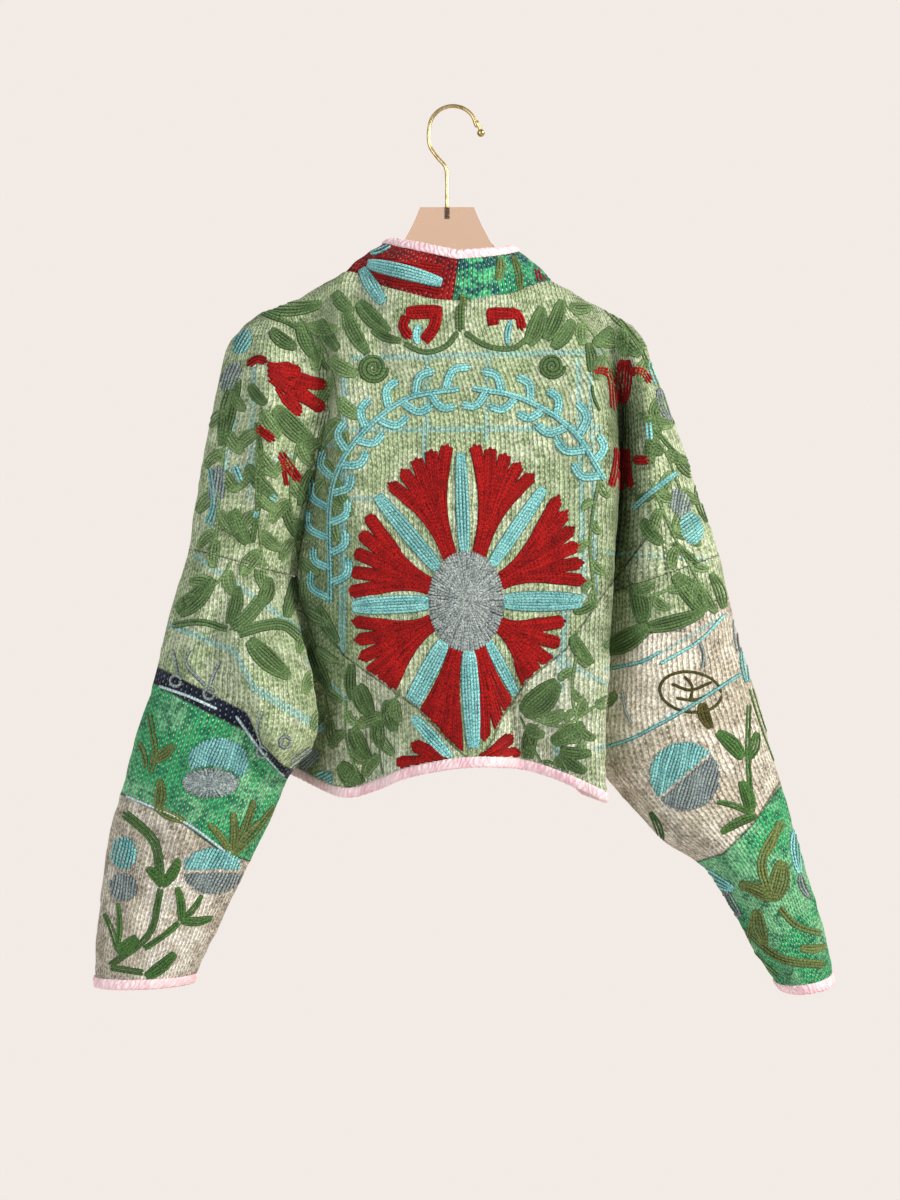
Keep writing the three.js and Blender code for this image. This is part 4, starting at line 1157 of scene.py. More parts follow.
# Ribbons of thread along rows: five points across, thick and thin by turns like links of a chain.
def ribbons(name, rows, fromFront=False):
    lift = lifts.get(name, 0.0)
    lines = [resample(row, thread["step"]) for row in rows if len(row) > 1]
    spots, normals, held = onCloth(np.concatenate(lines), fromFront)
    across = np.array([-1, -0.62, 0, 0.62, 1])
    height = np.array([-0.35, 0.7, 1.0, 0.7, -0.35])
    points, faces, uvs = [], [], []
    total, start = 0, 0
    for whole in lines:
        mine = np.arange(start, start + len(whole))
        start += len(whole)
        far = np.linalg.norm(np.diff(spots[mine], axis=0), axis=1) > thread["gap"]
        changes = far | (held[mine][1:] != held[mine][:-1])
        for part in np.split(mine, np.flatnonzero(changes) + 1):
            n = len(part)
            if n < 3 or not held[part[0]]:
                continue
            line, up = spots[part], normals[part]
            up = unit(up + np.concatenate([up[:1], up[:-1]]) + np.concatenate([up[1:], up[-1:]]))
            way = unit(np.gradient(line, axis=0))
            side = unit(np.cross(way, up))
            link = np.where((np.arange(n) + rng.integers(2)) % 2 == 0, 1.0, 0.8)
            taper = np.ones(n)
            taper[0] = taper[-1] = 0.6
            wide = thread["width"] / 2 * taper * (0.9 + 0.1 * link)
            tall = thread["height"] * taper * link * rng.uniform(0.85, 1.1)
            ring = (
                line[:, None]
                + side[:, None] * (across[None, :, None] * wide[:, None, None])
                + up[:, None] * (height[None, :, None] * tall[:, None, None] + lift)
            )
            points.append(ring.reshape(-1, 3))
            along = np.concatenate([[0], np.cumsum(np.linalg.norm(np.diff(line, axis=0), axis=1))])
            along += rowMark * rng.integers(1, 40) + rng.uniform(0, 60)
            uvs.append(np.stack([np.repeat(along, 5), np.tile(across, n)], -1))
            k = total + np.arange((n - 1) * 5).reshape(n - 1, 5)[:, :4]
            faces.append(np.stack([k, k + 1, k + 6, k + 5], -1).reshape(-1, 4))
            total += n * 5
    made = newObject(name, np.concatenate(points), np.concatenate(faces))
    addUv(made, "chain", np.concatenate(uvs))
    return made


# The great rosette: a disc with spokes and, between them, fans, cut off by the seams below.
rosette = {
    "centre": (466.2, 601.4),
    "radii": (116, 158),
    "disc": (38, 50.5),
    # the turn in degrees from the right, the reach as a share of the radii, the width
    "spokes": (
        (93, 0.94, 13.5),
        (47, 0.98, 14),
        (0, 1.0, 20),
        (306, 0.76, 11),
        (274, 0.93, 18),
        (234, 0.95, 18),
        (182, 0.98, 18),
        (139, 1.02, 16),
    ),
    # the first and the last turn, the number of fingers, the reach and the bend
    "fans": (
        (132, 99, 5, 1.01, 0.55),
        (86, 54, 5, 1.0, 0.55),
        (40, 7, 6, 1.05, 0.35),
        (177, 147, 5, 1.03, 0.35),
        (223, 187, 6, 1.0, 0.35),
        (352, 312, 5, 0.87, 0.3),
        (266, 241, 4, 1.02, 0.35),
        (300, 280, 3, 0.9, 0.35),
    ),
    "foot": 9,  # degrees to either side of a fan's middle
}


def onRosette(turn, radii, reach=1.0):
    turn = math.radians(turn)
    way = np.array([radii[0] * math.cos(turn), -radii[1] * math.sin(turn)])
    return np.array(rosette["centre"]) + reach * way


red, turquoise = [], []
for first, last, fingers, reach, bend in rosette["fans"]:
    middle = (first + last) / 2
    half = rosette["foot"]
    foot = [onRosette(middle + turn, rosette["disc"]) for turn in (half, -half)]
    turns = np.linspace(first, last, fingers)
    tips = [onRosette(turn, rosette["radii"], reach) for turn in turns]
    red += fan(foot, tips, bend)
for turn, reach, width in rosette["spokes"]:
    root = onRosette(turn, rosette["disc"], 0.98)
    turquoise += leaf(root, onRosette(turn, rosette["radii"], reach), width, 0, 0.3)
red, turquoise = (
    outside(outside(rows, patches["backLeft"]), patches["backRight"]) for rows in (red, turquoise)
)
for foot, tips, bend in (
    (((452, 770), (451, 757)), [(400, 779), (395, 762), (411, 743)], 0.3),
    (((480, 755), (480, 767)), [(513, 735), (521, 752), (522, 771)], 0.3),
    (((267, 362), (269, 382)), [(302, 372), (328, 386), (325, 410), (300, 416)], 0.3),
    (((614, 447), (630, 450)), [(611, 487), (621, 491), (631, 488)], 0.6),
):
    red += fan(foot, tips, bend)
red += leaves(
    ((406, 313), (442, 311), 14, 0, 0.3),
    ((487, 313), (520, 314), 12, 0, 0.3),
    ((625, 360), (622, 403), 18, 0, 0.4),
)
red += stems(
    ([(408, 314), (403, 326), (411, 339)], 10), ([(437, 308), (434, 327), (422, 343)], 11),
    ([(491, 308), (494, 328)], 11), ([(508, 309), (519, 317), (522, 331)], 9),
    ([(268, 362), (257, 359), (247, 366)], 8), ([(255, 426), (275, 441)], 9),
    ([(279, 452), (300, 482)], 10), ([(281, 456), (287, 488)], 5),
    ([(592, 371), (608, 373), (614, 410)], 8), ([(628, 373), (640, 371), (651, 383)], 8),
    ([(632, 460), (651, 460)], 9),
)

turquoise += leaves(
    ((413, 717), (452, 760), 12, 0, 0.45),
    ((419, 325), (418, 344), 8),
    ((511, 321), (508, 345), 7),
)
turquoise += vine([(330, 606), (338, 470), (400, 402), (462, 388)])
turquoise += vine([(606, 482), (572, 430), (520, 398), (470, 388)])
turquoise += stems(
    ([(206, 526), (213, 506), (210, 466)], 5.5), ([(234, 464), (242, 484)], 7),
    ([(268, 494), (278, 501)], 7), ([(258, 508), (254, 520)], 5),
    ([(662, 352), (650, 362), (658, 388)], 6), ([(648, 420), (650, 442)], 7),
    ([(679, 471), (654, 490), (631, 511)], 5), ([(660, 664), (700, 640), (724, 615)], 2.6),
    ([(609, 669), (643, 661), (660, 652)], 2.6), ([(638, 736), (680, 713), (740, 674)], 2.6),
    ([(607, 747), (622, 742), (638, 736)], 2.6),
)
turquoise += hatches(
    (oval((243, 342), 9, 16, 30), 60), (oval((691, 528), 13, 18, -15), 40),
    (oval((123.5, 853), 14, 18), 80), (oval((321, 780), 15, 10, -20), 30),
)
turquoise += leaves(
    ((704, 870), (734, 889), 13),
    ((795, 829), (799, 873), 11),
    ((743, 652), (748, 682), 11, 0, 0.3),
)
grey = hatches(
    (oval((231, 377), 10, 18, 25), 70), (oval((217, 485), 10, 21, 8), 84),
    (oval((123.5, 887), 15, 16), 80), (oval((680, 503), 11, 17, -15), 80),
    (oval((305, 759), 18, 11, -30), 40),
)
grey += leaves(
    ((724, 891), (740, 917), 14), ((800, 875), (809, 897), 9),
    ((735, 618), (739, 652), 9, 0, 0.3), ((659, 389), (670, 421), 11),
)

# Round flowers, each parted between two colours.
turquoise += outside(hatch(oval((219, 761), 31, 25), 70), oval((210.5, 783), 28, 15))
grey += radial((210.5, 783), 28, 15, 3)
for centre, radii, angle, turn in (((685, 776), (36, 36), 76, 131), ((213, 871), (31, 25), 65, 90)):
    flower = hatch(oval(centre, *radii), angle)
    turquoise += sideOf(flower, centre, turn)
    grey += sideOf(flower, centre, turn + 180)
grey += stems(
    ([(173, 650), (176, 662), (178, 674)], 3), ([(190, 650), (186, 662), (205, 686)], 3),
    ([(220, 662), (213, 676), (210, 686)], 3), ([(262, 712), (258, 728), (262, 748)], 3),
    ([(700, 642), (704, 656), (702, 668)], 4), ([(622, 690), (626, 712), (632, 724)], 4),
)
for centre in ((176, 681), (209, 694), (262, 752), (285, 742)):
    grey += stem(oval(centre, 5.5, 5.5), 2.8)
disc = radial(rosette["centre"], *rosette["disc"], 5)
pale = stems(
    ([(159, 686), (190, 697), (217, 709)], 2.8),
    ([(236, 716), (262, 752), (284, 776)], 2.6),
    ([(126, 796), (184, 822), (226, 852)], 2.4),
)

olive = leaves(
    ((345, 312), (368, 354), 15), ((358, 302), (389, 332), 17), ((372, 330), (401, 341), 9),
    ((335, 292), (352, 312), 14), ((528, 345), (542, 307), 18), ((546, 340), (562, 300), 16),
    ((553, 348), (573, 320), 14), ((592, 372), (588, 343), 12), ((594, 345), (612, 328), 14),
    ((268, 309), (322, 304), 15), ((271, 330), (296, 348), 15), ((300, 322), (316, 360), 15),
    ((320, 320), (338, 350), 14), ((275, 408), (314, 446), 22), ((237, 378), (222, 446), 18),
    ((247, 466), (276, 498), 15), ((233, 510), (248, 544), 17), ((284, 500), (300, 540), 13),
    ((250, 385), (266, 404), 12), ((620, 330), (640, 356), 16), ((648, 440), (663, 453), 16),
    ((676, 456), (697, 478), 13), ((697, 484), (707, 522), 11), ((636, 499), (656, 491), 10),
    ((655, 404), (660, 430), 9), ((642, 520), (662, 544), 14), ((179, 614), (213, 578), 20),
    ((229, 624), (238, 586), 14), ((286, 617), (295, 576), 15), ((262, 604), (269, 577), 16),
    ((249, 640), (289, 677), 21), ((705, 612), (674, 575), 22), ((724, 608), (711, 573), 13),
    ((643, 622), (634, 584), 20), ((606, 650), (648, 626), 22), ((646, 628), (704, 612), 16),
    ((358, 685), (371, 715), 20), ((379, 720), (381, 748), 15), ((389, 700), (394, 731), 18),
    ((352, 728), (368, 758), 17), ((340, 764), (366, 790), 20), ((523, 714), (558, 682), 28),
    ((552, 742), (584, 724), 17), ((560, 750), (591, 753), 12), ((560, 753), (586, 772), 12),
    ((557, 757), (575, 792), 13), ((534, 724), (528, 762), 16), ((318, 606), (338, 642), 14),
    ((310, 644), (330, 690), 15), ((352, 664), (352, 700), 12), ((312, 470), (300, 506), 12),
    ((336, 480), (352, 516), 12), ((572, 636), (592, 664), 14), ((574, 612), (597, 600), 10),
)
olive += stems(
    ([(402, 342), (424, 352), (446, 346), (459, 330)], 4.5), ([(460, 304), (460, 332)], 9),
    ([(463, 331), (487, 346), (514, 348), (528, 337)], 4.5),
    ([(592, 385), (594, 398), (600, 411)], 4), ([(230, 630), (246, 618), (265, 595)], 14),
    ([(236, 634), (262, 626), (284, 625), (306, 644)], 11),
    ([(260, 312), (300, 330), (330, 372)], 5), ([(256, 420), (262, 470), (252, 545)], 5),
    ([(170, 626), (200, 622), (230, 630)], 7), ([(655, 402), (662, 428), (655, 438)], 4),
    ([(640, 410), (664, 440), (690, 470)], 5), ([(600, 300), (636, 340), (650, 372)], 5),
    ([(672, 540), (700, 566)], 6),
)
olive += spiral((373, 368), 15, 3.2) + spiral((373, 368), 12, 2.4)
olive += spiral((552, 366), 13, 3) + spiral((552, 366), 10, 2.2)

moss = leaves(
    ((151, 761), (174, 745), 12), ((146, 767), (138, 742), 7), ((157, 811), (160, 779), 12),
    ((155, 806), (185, 821), 10), ((232, 856), (209, 824), 8), ((232, 856), (233, 812), 9),
    ((232, 856), (254, 800), 10), ((232, 856), (274, 806), 10), ((773, 900), (782, 861), 22),
    ((772, 899), (739, 884), 14), ((756, 910), (765, 944), 16), ((800, 948), (826, 946), 9),
    ((766, 856), (778, 822), 8),
)
moss += stems(
    ([(149, 712), (152, 730), (155, 750), (150, 776)], 7),
    ([(232, 858), (243, 838), (262, 820)], 5), ([(783, 820), (762, 862), (770, 896)], 10),
    ([(778, 906), (796, 925), (823, 934)], 7), ([(743, 928), (780, 958), (826, 965)], 8),
    ([(752, 918), (750, 946), (780, 978)], 5),
)
fern = [
    row
    for points, long, wide in (
        ([(300, 318), (326, 352), (342, 430)], 30, 14),
        ([(232, 380), (226, 430), (216, 540)], 28, 13),
        ([(262, 400), (256, 470), (262, 560)], 30, 14),
        ([(300, 430), (290, 490), (302, 580)], 28, 13),
        ([(330, 410), (322, 460), (334, 520)], 22, 10),
        ([(232, 560), (220, 580), (196, 596)], 24, 12),
        ([(300, 600), (316, 650), (330, 720)], 28, 12),
        ([(560, 300), (590, 330), (610, 366)], 26, 13),
        ([(600, 306), (640, 346), (664, 400)], 26, 13),
        ([(636, 410), (664, 450), (690, 520)], 28, 13),
        ([(650, 480), (676, 540), (704, 590)], 26, 12),
        ([(622, 590), (650, 596), (668, 590)], 22, 11),
        ([(600, 470), (590, 540), (594, 590)], 18, 9),
        ([(400, 690), (380, 730), (384, 786)], 26, 13),
        ([(530, 718), (560, 726), (596, 706)], 24, 13),
        ([(580, 640), (572, 690), (582, 740)], 18, 9),
        ([(520, 716), (540, 760), (566, 790)], 22, 11),
        ([(346, 700), (346, 740), (360, 780)], 22, 11),
    )
    for row in branch(points, long, wide, 20, 3.4)
]
green = leaves(
    ((162, 886), (147, 868), 11), ((162, 886), (179, 859), 11), ((181, 921), (177, 887), 9),
    ((181, 921), (212, 918), 10), ((181, 921), (202, 895), 7), ((117, 951), (104, 914), 7),
    ((117, 951), (118, 903), 6), ((117, 952), (137, 937), 14), ((146, 977), (175, 953), 13),
    ((743, 758), (717, 732), 16), ((748, 759), (757, 732), 12), ((751, 813), (741, 781), 14),
    ((756, 816), (721, 833), 10), ((750, 813), (717, 802), 7), ((662, 842), (650, 812), 9),
)
green += stems(
    ([(123, 812), (154, 842), (161, 886)], 10), ([(161, 886), (149, 934), (108, 967)], 7),
    ([(181, 921), (166, 934), (150, 945), (142, 950)], 6),
    ([(108, 967), (126, 970), (146, 973)], 7), ([(749, 702), (748, 756), (752, 812)], 6),
    ([(750, 686), (764, 730), (776, 762), (785, 790)], 7),
)
boteh = stem(oval((690.5, 692), 31, 20, 8), 3) + leaf((702, 703), (711, 728), 13)
boteh += stems(
    ([(672, 684), (690, 690), (712, 682)], 3),
    ([(676, 698), (694, 700), (712, 694)], 3),
    ([(684, 676), (692, 686), (690, 702)], 3),
)

# The collar: two patches filled with scarlet rows, then petals and strokes.
collarRed = hatches(
    ([(352, 269), (376, 255), (444, 265), (443, 297), (386, 283)], -8),
    ([(534, 263), (549, 279), (534, 286)], -70),
)
collarTurquoise = leaves(
    ((368, 264), (442, 283), 15, -1, 0.35),
    ((362, 269), (384, 303), 14, 1, 0.4),
    ((371, 253), (392, 244), 10, 0, 0.5),
)
collarGreen = leaves(
    ((497, 280), (500, 256), 10), ((520, 290), (513, 256), 9), ((461, 308), (461, 294), 7)
)

threads = {
    "red": (red, "scarlet"),
    "turquoise": (turquoise, "turquoise"),
    "grey": (grey, "grey"),
    "disc": (disc, "ash"),
    "pale": (pale, "pale"),
    "fern": (fern, "fern"),
    "olive": (olive, "olive"),
    "moss": (moss, "moss"),
    "green": (green, "leaf"),
    "boteh": (boteh, "dark olive"),
    "collar_red": (collarRed, "scarlet"),
    "collar_turquoise": (collarTurquoise, "turquoise"),
    "collar_green": (collarGreen, "moss"),
}
embroidery = [
    (ribbons("embroidery_" + name, rows), colour) for name, (rows, colour) in threads.items()
]
print("stage: embroidery on the back made")


# The unseen front carries on in the same way, drawn as seen from straight before it: a rosette
# parted by the opening, vines over it, and sprigs and flowers down the sleeves.
def onFront(*spots):
    return [(camera["originPixel"][0] + x, camera["originPixel"][1] - z) for x, z in spots]


def towards(centre, reach, degrees):
    turn = math.radians(degrees)
    return np.array(centre) + reach * np.array([math.cos(turn), -math.sin(turn)])


frontThreads = {colour: [] for colour in ("scarlet", "turquoise", "ash", "olive", "leaf", "grey")}
heart = onFront((-6, -440))[0]
for k in range(6):
    middle = 60 * k
    tips = [towards(heart, 98, middle + turn) for turn in (19, 7, -6, -18)]
    foot = [towards(heart, 36, middle + turn) for turn in (9, -9)]
    frontThreads["scarlet"] += fan(foot, tips)
    root, end = (towards(heart, reach, middle + 30) for reach in (34, 92))
    frontThreads["turquoise"] += leaf(root, end, 13, 0, 0.35)
frontThreads["ash"] += radial(heart, 33, 33)
# A colour, the places of a stalk, and the sizes that branch takes.
frontBranches = (
    ("turquoise", ((140, -520), (128, -420), (98, -330), (40, -300)), (17, 8, 15, 5)),
    ("turquoise", ((224, -330), (236, -420), (228, -500)), (16, 8, 16, 5)),
    ("olive", ((92, -215), (70, -250), (34, -278)), (28, 14)),
    ("olive", ((170, -230), (130, -260), (112, -300)), (28, 14)),
    ("olive", ((186, -280), (182, -360), (196, -440)), (30, 15)),
    ("olive", ((26, -640), (52, -590), (96, -560)), (30, 15)),
    ("olive", ((140, -640), (120, -600), (110, -560)), (30, 15)),
    ("olive", ((180, -560), (226, -540), (268, -556)), (28, 14)),
    ("leaf", ((330, -850), (300, -800), (270, -740)), (28, 12)),
)
for side in (-1, 1):

    def place(*spots):
        return onFront(*((side * x, z) for x, z in spots))

    for colour, spots, sizes in frontBranches:
        frontThreads[colour] += branch(place(*spots), *sizes)
    flower = hatch(oval(place((256, -650))[0], 32, 30), 70)
    frontThreads["turquoise"] += flower[:11]
    frontThreads["grey"] += flower[12:]
for colour, rows in frontThreads.items():
    embroidery.append((ribbons("embroidery_front_" + colour, rows, fromFront=True), colour))
print("stage: embroidery on the front made")


# The hook: round brass wire with a ball at its end.
hook = {
    "wire": 2.0,  # mm, half its thickness
    "radius": 24.0,  # mm, of the crown
    "stemX": -6.0,
    "ball": 4.0,
    "plateTop": -100.0,
    "ballPlace": (28, 0, -25),
}


def hookRoute():
    centre = -hook["radius"] + hook["wire"]
    arc = [
        (hook["radius"] * math.cos(turn), 0, centre + hook["radius"] * math.sin(turn))
        for turn in map(math.radians, (10, 35, 60, 90, 120, 150, 180))
    ]
    tail = [
        (-23, 0, -38),
        (-15, 0, -50),
        (-7.5, 0, -59),
        (hook["stemX"], 0, -70),
        (hook["stemX"], 0, hook["plateTop"] + 0.3),
    ]
    stations = np.array([(28, 0, -23), (24, 0, -14), *arc, *tail], float)[:, None]
    return alongStations(stations, np.linspace(0, 1, 160), np.full(1, 2.0))[0]


route = hookRoute()
wireCurve = bpy.data.curves.new("hook_wire", "CURVE")
wireCurve.dimensions = "3D"
wireCurve.bevel_depth = hook["wire"] * mm
wireCurve.bevel_resolution = 6
wireCurve.use_fill_caps = True
spline = wireCurve.splines.new("POLY")
spline.points.add(len(route) - 1)
for point, spot in zip(spline.points, route):
    point.co = (*(spot * mm), 1)
hookWire = bpy.data.objects.new("hook_wire", wireCurve)
bpy.context.scene.collection.objects.link(hookWire)
bpy.ops.mesh.primitive_uv_sphere_add(segments=32, ring_count=20, radius=hook["ball"] * mm)
hookBall = bpy.context.object
hookBall.name = "hook_ball"
for vertex in hookBall.data.vertices:
    vertex.co += Vector(hook["ballPlace"]) * mm
bpy.ops.object.shade_smooth()
print("stage: hook made")


# An sRGB hex code as linear values.
def linear(code):
    values = [int(code[i : i + 2], 16) / 255 for i in (1, 3, 5)]
    return (*[v / 12.92 if v <= 0.04045 else ((v + 0.055) / 1.055) ** 2.4 for v in values], 1.0)


# Adds a node with its settings, and values or links for its inputs, in their order or by name. It
# gives back the output asked for.
def add(tree, kind, inputs=(), out=0, **settings):
    node = tree.nodes.new("ShaderNode" + kind)
    for key, value in settings.items():
        setattr(node, key, value)
    for key, value in inputs.items() if isinstance(inputs, dict) else enumerate(inputs):
        if isinstance(value, bpy.types.NodeSocket):
            tree.links.new(value, node.inputs[key])
        else:
            node.inputs[key].default_value = value
    return node.outputs[out]


# Settings that many nodes share: a range with soft ends, a blend of two colours, and sums.
softly = {"interpolation_type": "SMOOTHSTEP"}
tinted = {"data_type": "RGBA", "out": 2}
times, plus, less = ({"operation": name} for name in ("MULTIPLY", "ADD", "SUBTRACT"))


# Cotton: its colour and relief, matt with a little fuzz.
def finish(tree, shader, colour, height, strength, distance):
    inputs = {"Strength": strength, "Distance": distance, "Height": height}
    tree.links.new(colour, shader.inputs["Base Color"])
    tree.links.new(add(tree, "Bump", inputs), shader.inputs["Normal"])
    shader.inputs["Roughness"].default_value = 0.9
    shader.inputs["Specular IOR Level"].default_value = 0.12
    shader.inputs["Sheen Weight"].default_value = 0.05


def newMaterial(name):
    material = bpy.data.materials.new(name)
    material.use_nodes = True
    tree = material.node_tree
    where = add(tree, "TexCoord", out="Object")
    return material, tree, tree.nodes["Principled BSDF"], where


# Ground, lighter patches, darker patches and running stitch.
palettes = {
    "sage": ("#aec194", "#c9d6b2", "#8aa072", "#edf0d8"),
    "pale sage": ("#c0cfa8", "#d9e1c6", "#9dae86", "#f2f4de"),
    # Painted shade: these two palettes darken the valleys beside the arms.
    "painted fold shade": ("#657953", "#7b8d64", "#4d6140", "#bbc399"),
    "painted side shade": ("#7d9266", "#93a579", "#62784e", "#ccd2a8"),
    "navy": ("#1a2030", "#262f44", "#131826", "#9aa6b4"),
    "emerald": ("#3fae72", "#7ecb96", "#1c7a58", "#dcefc0"),
    "taupe": ("#d0c7b3", "#e8e1d1", "#a79e8b", "#f5efe1"),
    "cream": ("#f0e8d6", "#f9f3e6", "#d6cbb4", "#fdf9f0"),
    "scarlet": ("#8e1119", "#a51b1c", "#6c0c13", "#d9827c"),
    "jade": ("#2f9a6c", "#5cc98c", "#15454f", "#dcefe0"),
}

# Quilted cotton: a mottled ground, its patches, the windowpane stripes, and rows of running
# stitch whose tension puckers the cloth between them, with painted shade down their valleys.
quilting = {
    "pitch": 4.6,  # mm, from row to row
    "stitch": 5.4,  # mm, from stitch to stitch
    "wide": 0.42,  # mm, half a thread
    "strength": 0.62,
    "relief": 0.0024,  # m
}
# mm over which these zones fade; the others end at a seam. The shade and green zones are painted
# shade.
zoneEdges = {"shade": 16.0, "green": 9.0, "cream": 5.0, "rightCream": 6.0}
paneColour = linear("#86c5c6")


def clothMaterial(name, ground, zones=(), pane=0.0, teal=0.0):
    material, tree, shader, where = newMaterial(name)
    broad = add(tree, "TexNoise", {"Vector": where, "Scale": 1 / (46 * mm)})
    broad = add(tree, "MapRange", [broad, 0.42, 0.6], **softly)
    fine = add(tree, "TexNoise", {"Vector": where, "Scale": 1 / (12 * mm)})
    fine = add(tree, "MapRange", [fine, 0.48, 0.64, 0.0, 0.8], **softly)
    grain = add(tree, "TexNoise", {"Vector": where, "Scale": 1 / (2.0 * mm), "Detail": 3.0})
    loose = add(tree, "TexNoise", {"Vector": where, "Scale": 1 / (15 * mm)})
    loose = add(tree, "Math", [loose, 0.5], **less)

    def look(palette):
        base, light, dark, _ = (linear(code) for code in palettes[palette])
        mottled = add(tree, "Mix", {0: broad, 6: base, 7: light}, **tinted)
        return add(tree, "Mix", {0: fine, 6: mottled, 7: dark}, **tinted)

    def stripe():
        away = add(tree, "Attribute", attribute_name="pane", out="Fac")
        away = add(tree, "Math", [away, add(tree, "Math", [grain, 1.6], **times)], **plus)
        return add(tree, "MapRange", [away, 0.3, 1.9, pane, 0.0], **softly)

    colour, groove = look(ground), None
    stitchColour = linear(palettes[ground][3])
    if pane:
        colour = add(tree, "Mix", {0: stripe(), 6: colour, 7: paneColour}, **tinted)
    for zone, palette in zones:
        depth = add(tree, "Attribute", attribute_name=zone, out="Fac")
        edge = zoneEdges.get(zone)
        if edge:
            ragged = add(tree, "Math", [loose, 2 * edge], **times)
            depth = add(tree, "Math", [depth, ragged], **plus)
            share = add(tree, "MapRange", [depth, -edge, edge], **softly)
        else:
            share = add(tree, "MapRange", [depth, -0.4, 0.4], **softly)
            away = add(tree, "Math", [depth], operation="ABSOLUTE")
            line = add(tree, "MapRange", [away, 0.2, 1.4, 1.0, 0.0], **softly)
            if groove is not None:
                bare = add(tree, "Math", [1.0, share], **less)
                bare = add(tree, "Math", [groove, bare], **times)
                line = add(tree, "Math", [bare, line], operation="MAXIMUM")
            groove = line
        colour = add(tree, "Mix", {0: share, 6: colour, 7: look(palette)}, **tinted)
        own = linear(palettes[palette][3])
        stitchColour = add(tree, "Mix", {0: share, 6: stitchColour, 7: own}, **tinted)
        if pane and palette not in ("emerald", "navy"):
            within = add(tree, "Math", [stripe(), share], **times)
            colour = add(tree, "Mix", {0: within, 6: colour, 7: paneColour}, **tinted)
    if teal:
        spots = add(tree, "TexNoise", {"Vector": where, "Scale": 1 / (17 * mm), "Detail": 1.0})
        spots = add(tree, "MapRange", [spots, 0.5, 0.6, 0.0, teal], **softly)
        colour = add(tree, "Mix", {0: spots, 6: colour, 7: linear("#17505a")}, **tinted)

    stitch = add(tree, "SeparateXYZ", [add(tree, "UVMap", uv_map="stitch")]).node.outputs
    wander = add(tree, "TexNoise", {"Vector": where, "Scale": 1 / (22 * mm), "Detail": 2.5})
    wander = add(tree, "Math", [wander, 6.0], **times)
    rows = add(tree, "Math", [stitch[0], wander], **plus)
    rows = add(tree, "Math", [rows, quilting["pitch"]], operation="DIVIDE")
    inRow = add(tree, "Math", [rows], operation="FRACT")
    inRow = add(tree, "Math", [inRow, 0.5], **less)
    inRow = add(tree, "Math", [inRow], operation="ABSOLUTE")
    number = add(tree, "Math", [rows], operation="FLOOR")
    start = add(tree, "TexWhiteNoise", {"W": number}, noise_dimensions="1D", out="Value")
    along = add(tree, "Math", [stitch[1], quilting["stitch"]], operation="DIVIDE")
    along = add(tree, "Math", [along, start], **plus)
    inStitch = add(tree, "Math", [along], operation="FRACT")
    inStitch = add(tree, "Math", [inStitch, 0.5], **less)
    inStitch = add(tree, "Math", [inStitch], operation="ABSOLUTE")
    half = quilting["wide"] / quilting["pitch"]
    dash = add(tree, "MapRange", [inRow, half * 0.7, half * 1.4, 1.0, 0.0], **softly)
    ends = add(tree, "MapRange", [inStitch, 0.15, 0.22, 1.0, 0.0], **softly)
    dash = add(tree, "Math", [dash, ends], **times)
    valley = add(tree, "MapRange", [inRow, 0.03, 0.4], **softly)
    pucker = add(tree, "MapRange", [inStitch, 0.05, 0.45], **softly)
    streak = add(tree, "TexNoise", {"Vector": where, "Scale": 1 / (4.0 * mm), "Detail": 4.0})
    # Painted shade: darker down the stitched valleys, lighter on the puckers between them; then a
    # random speckle of tone.
    shade = add(tree, "MapRange", [valley, 0.0, 0.8, 0.68, 1.04], **softly)
    for speckle in (grain, streak):
        speckle = add(tree, "MapRange", [speckle, 0.3, 0.7, 0.74, 1.16], **softly)
        shade = add(tree, "Math", [shade, speckle], **times)
    if groove is not None:
        cut = add(tree, "Math", [groove, 0.55], **times)
        shade = add(tree, "Math", [shade, add(tree, "Math", [1.0, cut], **less)], **times)
    tint = add(tree, "CombineColor", [shade] * 3)
    colour = add(tree, "Mix", {0: 1.0, 6: colour, 7: tint}, blend_type="MULTIPLY", **tinted)
    strength = add(tree, "TexNoise", {"Vector": where, "Scale": 1 / (30 * mm)})
    strength = add(
        tree, "MapRange", [strength, 0.35, 0.65, 0.45, quilting["strength"] + 0.2], **softly
    )
    shown = add(tree, "Math", [dash, strength], **times)
    colour = add(tree, "Mix", {0: shown, 6: colour, 7: stitchColour}, **tinted)

    height = add(tree, "Math", [add(tree, "Math", [pucker, valley], **times), 0.35], **times)
    height = add(tree, "Math", [height, valley], **plus)
    for part, much in ((dash, 0.3), (streak, 0.8), (grain, 0.3)):
        height = add(tree, "Math", [height, add(tree, "Math", [part, much], **times)], **plus)
    if groove is not None:
        height = add(tree, "Math", [height, add(tree, "Math", [groove, 1.4], **times)], **less)
    finish(tree, shader, colour, height, 0.95, quilting["relief"])
    return material


# Chain stitch in cotton: specked, with painted shade along its edges and between its links.
threadColours = {
    "scarlet": ("#a01513", "#66090d"),
    "turquoise": ("#8ecbc9", "#4c9a9e"),
    "grey": ("#94a19f", "#62727a"),
    "ash": ("#9ca5a2", "#68757a"),
    "pale": ("#c3d6d9", "#8fa8b0"),
    "olive": ("#5e7a4c", "#47603b"),
    "fern": ("#748f5e", "#5b7549"),
    "moss": ("#6c7b46", "#505f36"),
    "leaf": ("#4c723b", "#38562f"),
    "dark olive": ("#55522a", "#38371a"),
}


